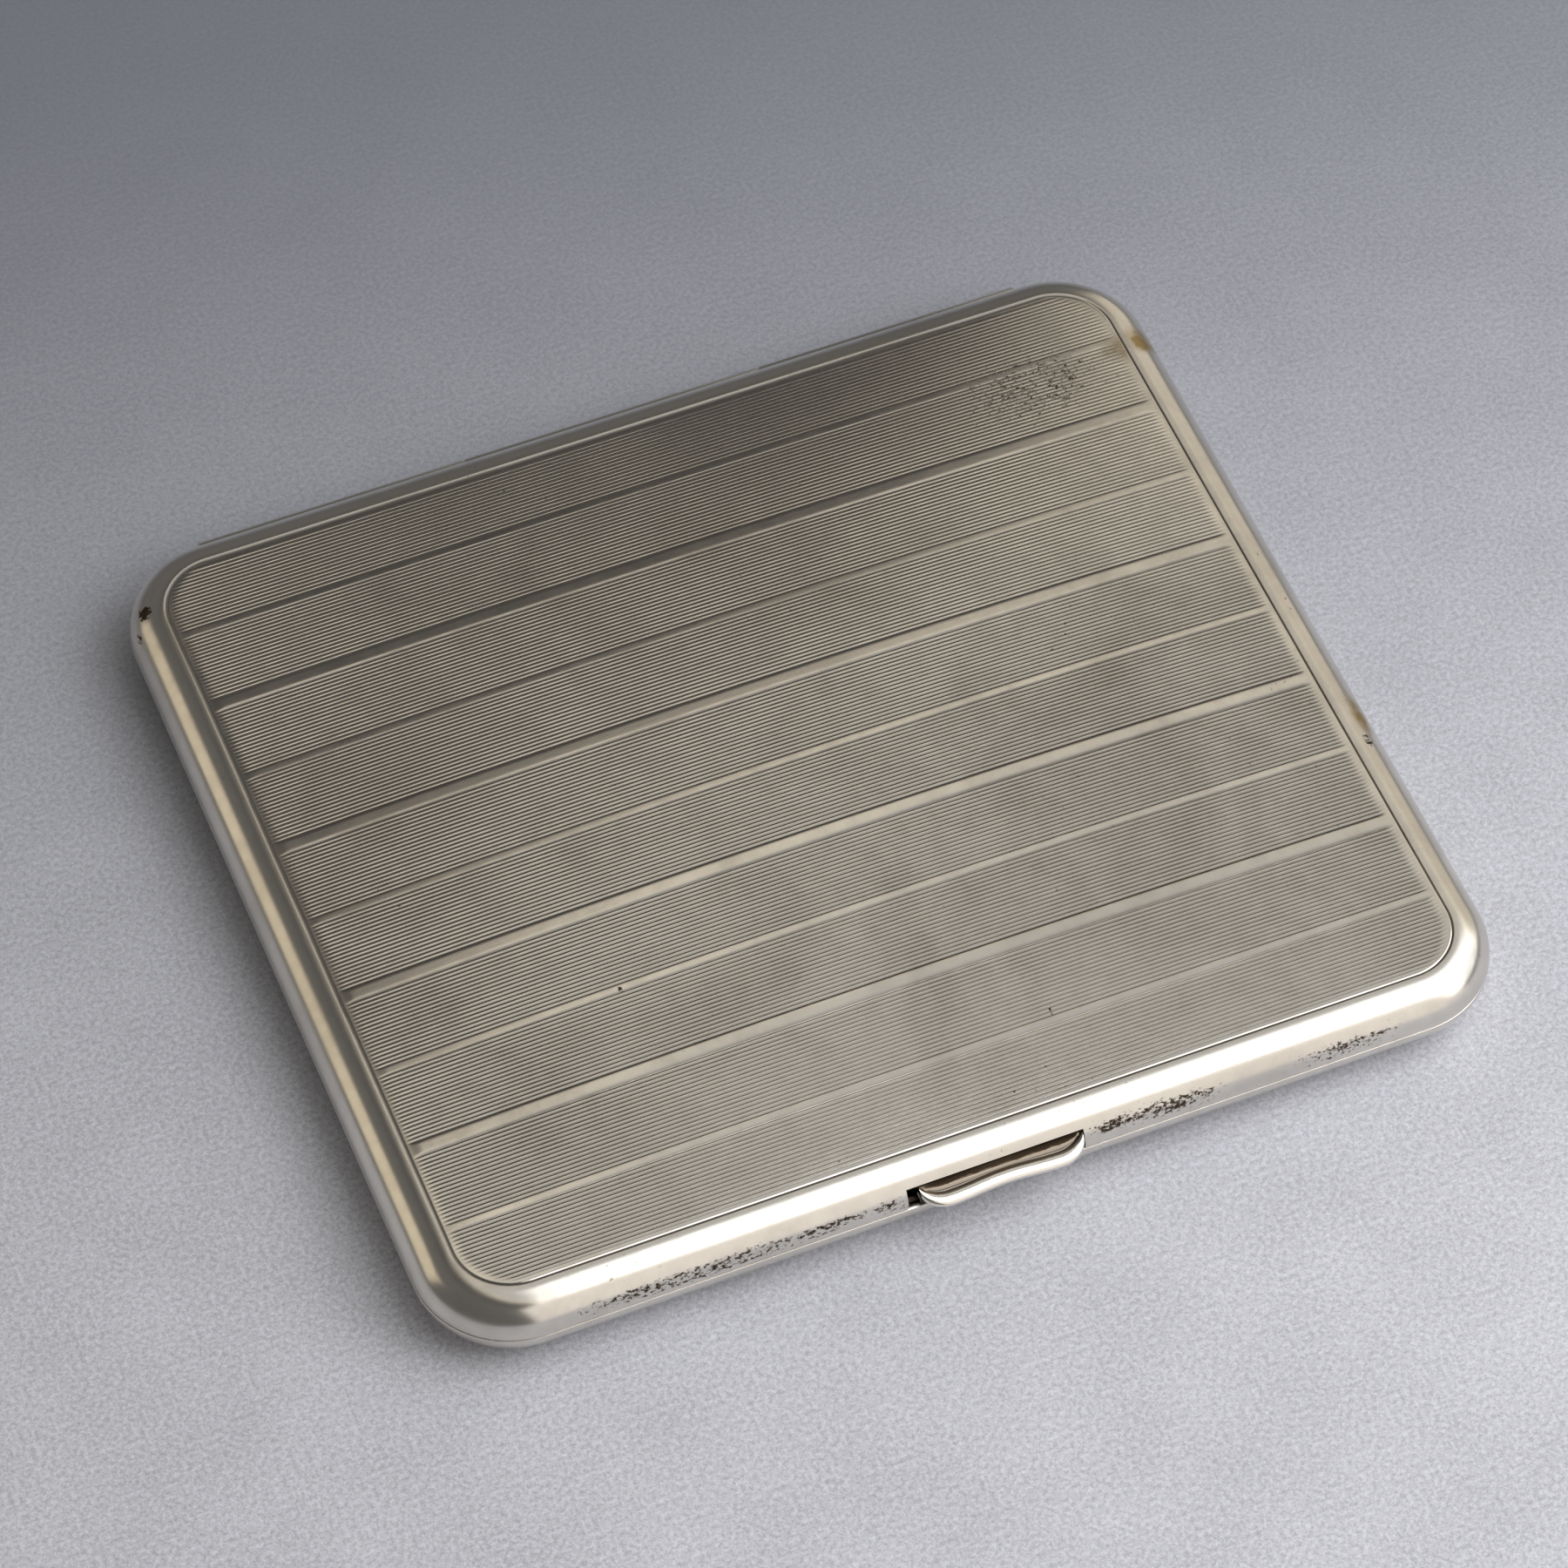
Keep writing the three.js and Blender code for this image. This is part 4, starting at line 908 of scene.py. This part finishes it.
class CASE_OT_hinge(bpy.types.Operator):
    """Hinge tubes and their wire pin"""

    bl_idname = "case.hinge"
    bl_label = "Hinge"

    pin_clearance = 0.1 * MM
    pin_bevel = 0.15 * MM
    pin_end = 0.6
    tube_bevel = 0.07 * MM

    def execute(self, context):
        finishes = context.scene.case_finishes
        silver = tarnished_silver("Hinge silver", finishes, 0.24)
        pin = (PIN_HIGH.z - PIN_LOW.z) / 2
        for body, nodes in (("lid", LID_TUBES), ("base", BASE_TUBES)):
            for node in nodes:
                low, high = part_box(node)
                bore = pin + self.pin_clearance
                obj = tube(f"{node}_tube", low.x, high.x, bore, self.tube_bevel, silver)
                settle(obj, body, "case_silver", node)
        start, end = PIN_LOW.x, PIN_HIGH.x
        profile = [
            (start, 0), (start, self.pin_end * pin), (start + self.pin_bevel, pin),
            (end - self.pin_bevel, pin), (end, self.pin_end * pin), (end, 0),
        ]
        wire = turned("hinge_pin_wire", profile, "X", HINGE_LINE, 40, 35, drawn_steel(finishes))
        settle(wire, "base", "spring_steel", "hinge_pin")
        return {"FINISHED"}


class CASE_OT_thumb_piece(bpy.types.Operator):
    """Scooped thumb-piece with a rolled, waisted lip"""

    bl_idname = "case.thumb_piece"
    bl_label = "Thumb-piece"

    sections = 120
    scoop_steps = 22
    bead_steps = 18
    bead_seat = math.radians(125)
    top_margin = 0.1 * MM
    foot_margin = 0.06 * MM
    foot_step = 0.05 * MM
    soot_gain = 1.6
    foot_soot = 0.2

    def section(self, thumb, shells, along):
        """Section at a distance from the middle, as (reach, height, tarnish) points."""
        top, bottom = THUMB_HIGH.z - LID_LOW.z, THUMB_LOW.z - LID_LOW.z
        from_end = (THUMB_HIGH.x - THUMB_LOW.x) / 2 - abs(along)
        share = min(1.0, from_end / thumb.end_length)
        fullness = math.sqrt(1 - (1 - share) ** 2)
        wave = (1 - math.cos(2 * math.pi * along / thumb.bulge_spacing)) / 2
        full_reach = thumb.waist_reach + (thumb.lip_reach - thumb.waist_reach) * wave
        high = top - thumb.bead - self.top_margin
        low = bottom + thumb.bead + self.foot_margin

        def wall(height):
            return -shells.edge_width * (1 - math.sqrt(1 - (height / shells.edge_height) ** 2))

        reach = wall(high) + (full_reach - wall(high)) * fullness
        start = np.array([wall(top), top])
        middle = np.array([reach - thumb.bead_depth, high + (low - high) * fullness])

        def bead(angle):
            return middle + np.array([thumb.bead_depth * math.cos(angle), thumb.bead * math.sin(angle)])

        lip = bead(self.bead_seat)
        hollow = np.array([min(start[0], lip[0]) - thumb.bead / 3, lip[1]])
        points = []
        for step in range(self.scoop_steps + 1):
            t = step / self.scoop_steps
            place = (1 - t) ** 2 * start + 2 * t * (1 - t) * hollow + t * t * lip
            points.append((*place, (1 - t) * min(1.0, fullness * self.soot_gain)))
        for step in range(1, self.bead_steps + 1):
            angle = self.bead_seat - step / self.bead_steps * (self.bead_seat + QUARTER)
            points.append((*bead(angle), 0.0))
        back = FRONT_Y - THUMB_HIGH.y
        points.append((-self.foot_step, bottom, self.foot_soot))
        points.append((back, bottom, 0.0))
        points.append((back, top - self.top_margin, 0.0))
        return points

    def execute(self, context):
        scene = context.scene
        middle = (THUMB_LOW.x + THUMB_HIGH.x) / 2
        half = (THUMB_HIGH.x - THUMB_LOW.x) / 2
        points, soot = [], []
        for station in range(self.sections + 1):
            along = -half * math.cos(math.pi * station / self.sections)
            for reach, height, dark in self.section(scene.case_thumb, scene.case_shells, along):
                points.append((middle + along, FRONT_Y - reach, LID_LOW.z + height))
                soot.append(dark)
        faces = capped_faces(self.sections + 1, len(points) // (self.sections + 1))
        silver = thumb_silver("Thumb silver", scene.case_finishes)
        obj = mesh_object("thumb_piece_scoop", points, faces, 38, silver)
        note_values(obj, "soot", soot)
        settle(obj, "catch", "thumb_silver", "thumb_piece")
        return {"FINISHED"}


class CASE_OT_bezel(bpy.types.Operator):
    """Strip that lines the lid up with the base"""

    bl_idname = "case.bezel"
    bl_label = "Bezel"

    strip = 0.5 * MM
    soft = 0.1 * MM
    corner_steps = 24
    notch_drop = 0.15 * MM
    notch_margin = 1 * MM
    sharp = 50

    def execute(self, context):
        scene = context.scene
        sizes = scene.case_shells
        strip, soft = self.strip, self.soft
        low, high = BEZEL_LOW.z, BEZEL_HIGH.z
        section = [
            (0, low), (0, high - 2 * soft), (0.3 * soft, high - 0.6 * soft), (1.5 * soft, high),
            (strip - soft, high), (strip - 0.3 * soft, high - 0.3 * soft), (strip, high - soft), (strip, low),
        ]
        inset = LID_HIGH.x - BEZEL_HIGH.x
        lines = [self.path(sizes, inset + reach) for reach, _ in section]
        points = []
        for places in zip(*lines):
            points += [(x, y + MIDDLE_Y, height) for (x, y), (_, height) in zip(places, section)]
        faces = capped_faces(len(lines[0]), len(section))
        obj = mesh_object("base_bezel_strip", points, faces, self.sharp)
        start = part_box("spring_block")[0].x - self.notch_margin
        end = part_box("catch_keeper")[1].x + self.notch_margin
        notch_low = (start, FRONT_Y, BASE_HIGH.z - self.notch_drop)
        notch_high = (end, FRONT_Y + sizes.corner_radius, high + OVERCUT)
        cut_away(obj, [box_cutter(notch_low, notch_high)], self.sharp)
        obj.data.materials.append(inside_silver(scene.case_finishes))
        settle(obj, "base", "inner_silver", "base_bezel")
        return {"FINISHED"}

    def path(self, sizes, inset):
        """Plan of the strip from the left arm's end round the front to the right arm's end."""
        half_x, half_y = sizes.length / 2 - inset, sizes.width / 2 - inset
        radius = sizes.corner_radius - inset
        end = BEZEL_HIGH.y - MIDDLE_Y
        points = [(-half_x, end)]
        for middle_x, turn in ((radius - half_x, 2), (half_x - radius, 3)):
            for step in range(self.corner_steps + 1):
                angle = (turn + step / self.corner_steps) * QUARTER
                across, down = radius * math.cos(angle), radius * math.sin(angle)
                points.append((middle_x + across, radius - half_y + down))
        points.append((half_x, end))
        return points


class CASE_OT_catch_works(bpy.types.Operator):
    """Stamped pieces of the catch and the band brackets"""

    bl_idname = "case.catch_works"
    bl_label = "Catch works"

    bevel = 0.06 * MM

    def execute(self, context):
        finishes = context.scene.case_finishes
        silver = inside_silver(finishes)
        bar = drawn_metal("Tarnished bar", tuple(finishes.tarnish), 0.4)
        nodes = [
            "slide_bar", "slide_guide_left", "slide_guide_right", "spring_block",
            "catch_keeper", "band_bracket_left", "band_bracket_right",
        ]
        for node in nodes:
            paint(node, bar if node == "slide_bar" else silver)
            soften(node, self.bevel)
        return {"FINISHED"}


class CASE_OT_return_spring(bpy.types.Operator):
    """Bent leaf spring that pushes the slide back"""

    bl_idname = "case.return_spring"
    bl_label = "Return spring"

    half_leaf = 0.12 * MM
    steps = 40
    bow_power = 0.75

    def execute(self, context):
        leaf = self.half_leaf
        low_z, high_z = SPRING_LOW.z, SPRING_HIGH.z
        share = np.arange(self.steps + 1) / self.steps
        bow = np.maximum(np.sin(math.pi * share), 0) ** self.bow_power
        line = np.column_stack([
            SPRING_LOW.x + leaf + (SPRING_HIGH.x - SPRING_LOW.x - 2 * leaf) * share,
            SPRING_LOW.y + leaf + (SPRING_HIGH.y - SPRING_LOW.y - 2 * leaf) * bow,
        ])
        slope = np.gradient(line, axis=0)
        slope /= np.linalg.norm(slope, axis=1)[:, None]
        normal = np.column_stack([-slope[:, 1], slope[:, 0]])
        points = []
        for place, away in zip(line, normal):
            for side, height in ((-1, low_z), (1, low_z), (1, high_z), (-1, high_z)):
                x, y = place + away * side * leaf
                points.append((x, max(y, SPRING_LOW.y), height))
        steel = drawn_steel(context.scene.case_finishes)
        obj = mesh_object("return_spring_leaf", points, capped_faces(self.steps + 1, 4), 40, steel)
        settle(obj, "lid", "spring_steel", "return_spring")
        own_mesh(obj)
        return {"FINISHED"}


class CASE_OT_rivets(bpy.types.Operator):
    """Brass rivets of the thumb-piece and of the elastic band"""

    bl_idname = "case.rivets"
    bl_label = "Rivets"

    shank = 0.5 * MM
    head = 0.3 * MM
    tail = 0.8 * MM
    dome_steps = 8

    def execute(self, context):
        brass = shared_material("Rivet brass", drawn_metal, tuple(context.scene.case_finishes.brass), 0.28)
        head, tail, shank = self.head, self.tail, self.shank
        plain_foot = [(0, 0), (0, shank)]
        closed_foot = [(0, 0), (0, 0.6 * tail), (0.5 * head, tail), (head, tail), (head, shank)]
        for side in ("left", "right"):
            self.rivet(f"thumb_rivet_{side}", "catch", "Y", plain_foot, 32, brass)
            self.rivet(f"band_rivet_{side}", "base", "Z", closed_foot, 40, brass)
        return {"FINISHED"}

    def rivet(self, node, body, axis, foot, sides, brass):
        """One rivet along an axis, with its foot low and its domed head high."""
        low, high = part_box(node)
        along = "XYZ".index(axis)
        radius = (high.x - low.x) / 2
        seat = high[along] - self.head
        profile = [(low[along] + rise, reach) for rise, reach in foot] + [(seat, self.shank)]
        for step in range(self.dome_steps):
            angle = step / self.dome_steps * QUARTER
            profile.append((seat + self.head * math.sin(angle), radius * math.cos(angle)))
        profile.append((high[along], 0))
        middle = (low + high) / 2
        middle[along] = 0
        obj = turned(f"{node}_turned", profile, axis, middle, sides, 40, brass)
        settle(obj, body, "rivet_brass", node)


class CASE_OT_elastic_band(bpy.types.Operator):
    """Woven elastic band across the base"""

    bl_idname = "case.elastic_band"
    bl_label = "Elastic band"

    ribs = 15
    rib_depth = 0.1 * MM
    across_steps = 120
    along_steps = 240
    side_power = 0.35
    flat_power = 0.3
    side_margin = 0.05 * MM
    flat_margin = 0.04 * MM
    crimp_depth = 0.02 * MM
    crimp_length = 0.9 * MM
    pinch_depth = 0.12 * MM
    pinch_length = 2.2 * MM

    def section(self):
        """Points round the band as (across, flat, depth between the ribs) shares."""
        points = []
        for step in range(self.across_steps):
            angle = 2 * math.pi * step / self.across_steps
            across = math.copysign(abs(math.cos(angle)) ** self.side_power, math.cos(angle))
            flat = math.copysign(abs(math.sin(angle)) ** self.flat_power, math.sin(angle))
            points.append((across, flat, 0.5 - 0.5 * math.cos(math.pi * self.ribs * across)))
        return points

    def execute(self, context):
        middle = (BAND_LOW + BAND_HIGH) / 2
        half = (BAND_HIGH - BAND_LOW) / 2
        rivet_low, rivet_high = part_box("band_rivet_right")
        pinch_x = (rivet_low.x + rivet_high.x) / 2
        section = self.section()
        points = []
        for row in range(self.along_steps + 1):
            x = BAND_LOW.x + (BAND_HIGH.x - BAND_LOW.x) * row / self.along_steps
            crimp = self.crimp_depth * math.sin(2 * math.pi * x / self.crimp_length)
            pinch = self.pinch_depth * math.exp(-(((abs(x) - pinch_x) / self.pinch_length) ** 2))
            thick = half.z - self.flat_margin - pinch + crimp
            for across, flat, hollow in section:
                y = middle.y + (half.y - self.side_margin) * across
                points.append((x, y, middle.z + flat * (thick - self.rib_depth * hollow)))
        faces = capped_faces(self.along_steps + 1, self.across_steps)
        weave = elastic_weave("Woven elastic", context.scene.case_finishes)
        obj = mesh_object("elastic_band_woven", points, faces, 60, weave)
        note_values(obj, "groove", [hollow for _, _, hollow in section] * (self.along_steps + 1))
        settle(obj, "base", "band_elastic", "elastic_band")
        return {"FINISHED"}


class CASE_OT_stage(bpy.types.Operator):
    """Floor, soft light and camera"""

    bl_idname = "case.stage"
    bl_label = "Stage"

    floor_half = 8
    aim_x, aim_y = -1.924 * MM, -1.642 * MM

    # Lights as name, direction, distance, width and height, radiance and colour
    lights = [
        ("Side sheet", (0.75, -0.28, 0.60), 0.60, (0.65, 0.60), 1.3, (0.98, 0.99, 1.0)),
        ("Front sheet", (0.40, -0.80, 0.42), 0.50, (0.60, 0.50), 0.85, (1.0, 0.94, 0.88)),
        ("Left wall", (-0.80, 0.48, 0.36), 0.80, (0.50, 0.40), 0.62, (1.0, 0.86, 0.62)),
        ("Right wall", (0.80, 0.45, 0.38), 0.80, (0.70, 0.50), 0.55, (1.0, 0.90, 0.74)),
    ]
    window = ("Window", (0.40, -0.33, 0.855), 0.32, (0.26, 0.26), 1.6, (1.0, 0.99, 0.98))

    # Room light by height along an axis that leans to the right
    sky_axis = (0.40, 0, 0.9165)
    sky_stops = [
        (0.00, (0.13, 0.127, 0.124)), (0.35, (0.13, 0.127, 0.124)), (0.60, (0.14, 0.137, 0.132)),
        (0.69, (0.085, 0.082, 0.08)), (0.765, (0.055, 0.053, 0.052)), (0.795, (0.095, 0.09, 0.085)),
        (0.813, (0.40, 0.367, 0.315)), (0.829, (0.88, 0.80, 0.67)), (0.842, (0.88, 0.81, 0.69)),
        (0.862, (0.66, 0.64, 0.59)), (0.895, (0.54, 0.535, 0.515)), (1.00, (0.42, 0.43, 0.44)),
    ]

    def execute(self, context):
        scene = context.scene
        self.floor(scene)
        self.sky(scene)
        self.softbox(scene, *self.window, level=True)
        for light in self.lights:
            self.softbox(scene, *light)
        self.camera(scene)
        scene.view_settings.view_transform = "Standard"
        scene.view_settings.look = "None"
        scene.view_settings.exposure = 0.0
        return {"FINISHED"}

    def floor(self, scene):
        """A wide plain table top."""
        half = self.floor_half
        corners = [(-half, -half, 0), (half, -half, 0), (half, half, 0), (-half, half, 0)]
        table = table_top("Pale table", scene.case_finishes)
        obj = mesh_object("table_top", corners, [(0, 1, 2, 3)], 30, table)

    def sky(self, scene):
        """Room light: dim low down, darker above that, then a cream band and grey overhead."""
        world = bpy.data.worlds.new("Soft room")
        world.use_nodes = True
        scene.world = world
        nodes = Nodes(world.node_tree)
        where = nodes.add("ShaderNodeTexCoord").outputs["Generated"]
        ramp = nodes.add("ShaderNodeValToRGB", {"Fac": nodes.dot(where, self.sky_axis)})
        stops = ramp.color_ramp.elements
        for place, _ in self.sky_stops[1:-1]:
            stops.new(place)
        for stop, (_, colour) in zip(stops, self.sky_stops):
            stop.color = (*colour, 1)
        nodes.feed(world.node_tree.nodes["Background"].inputs["Color"], ramp.outputs["Color"])

    def softbox(self, scene, name, direction, distance, size, radiance, colour, level=False):
        """A flat area light of even radiance that faces the case, or is only tipped back if it is level."""
        place = Vector(direction).normalized() * distance
        data = bpy.data.lights.new(name, "AREA")
        data.shape = "RECTANGLE"
        data.size, data.size_y = size
        data.energy = radiance * math.pi * size[0] * size[1]
        data.color = colour
        obj = bpy.data.objects.new(name, data)
        obj.location = place
        obj.rotation_mode = "QUATERNION"
        facing = Vector((0, place.y, place.z)) if level else place
        obj.rotation_quaternion = (-facing).to_track_quat("-Z", "Y")
        scene.collection.objects.link(obj)

    def camera(self, scene):
        """Camera at the photograph's angle."""
        stage = scene.case_stage
        data = bpy.data.cameras.new("Camera")
        data.sensor_fit = "HORIZONTAL"
        data.angle = stage.view_angle
        data.clip_start, data.clip_end = 0.01, 10
        obj = bpy.data.objects.new("Camera", data)
        side, rise = stage.azimuth, stage.elevation
        back = Vector((math.sin(side) * math.cos(rise), -math.cos(side) * math.cos(rise), math.sin(rise)))
        aim = Vector((self.aim_x, MIDDLE_Y + self.aim_y, LID_LOW.z + scene.case_shells.edge_height))
        obj.location = aim + back * stage.distance
        obj.rotation_mode = "QUATERNION"
        obj.rotation_quaternion = (-back).to_track_quat("-Z", "Y")
        scene.collection.objects.link(obj)
        scene.camera = obj


class CASE_PT_panel(bpy.types.Panel):
    """Lists the steps that dress the case"""

    bl_idname = "CASE_PT_panel"
    bl_label = "Cigarette case"
    bl_space_type = "VIEW_3D"
    bl_region_type = "UI"
    bl_category = "Case"

    def draw(self, context):
        for operator in OPERATORS:
            self.layout.operator(operator.bl_idname)


GROUPS = {
    "case_shells": ShellSizes,
    "case_reeds": ReedSizes,
    "case_thumb": ThumbSizes,
    "case_finishes": CaseFinishes,
    "case_stage": StageSizes,
}
OPERATORS = [
    CASE_OT_lid_shell,
    CASE_OT_base_shell,
    CASE_OT_hinge,
    CASE_OT_thumb_piece,
    CASE_OT_bezel,
    CASE_OT_catch_works,
    CASE_OT_return_spring,
    CASE_OT_rivets,
    CASE_OT_elastic_band,
    CASE_OT_stage,
]


def register():
    """Adds the properties, operators and panel."""
    for name, group in GROUPS.items():
        bpy.utils.register_class(group)
        setattr(bpy.types.Scene, name, PointerProperty(type=group))
    for part in [*OPERATORS, CASE_PT_panel]:
        bpy.utils.register_class(part)


def unregister():
    """Removes the panel, operators and properties."""
    for part in [CASE_PT_panel, *reversed(OPERATORS)]:
        bpy.utils.unregister_class(part)
    for name, group in reversed(GROUPS.items()):
        delattr(bpy.types.Scene, name)
        bpy.utils.unregister_class(group)


def main():
    """Dresses the frame."""
    register()
    bpy.ops.case.lid_shell()
    bpy.ops.case.base_shell()
    bpy.ops.case.hinge()
    bpy.ops.case.thumb_piece()
    bpy.ops.case.bezel()
    bpy.ops.case.catch_works()
    bpy.ops.case.return_spring()
    bpy.ops.case.rivets()
    bpy.ops.case.elastic_band()
    bpy.ops.case.stage()


if __name__ == "__main__":
    main()
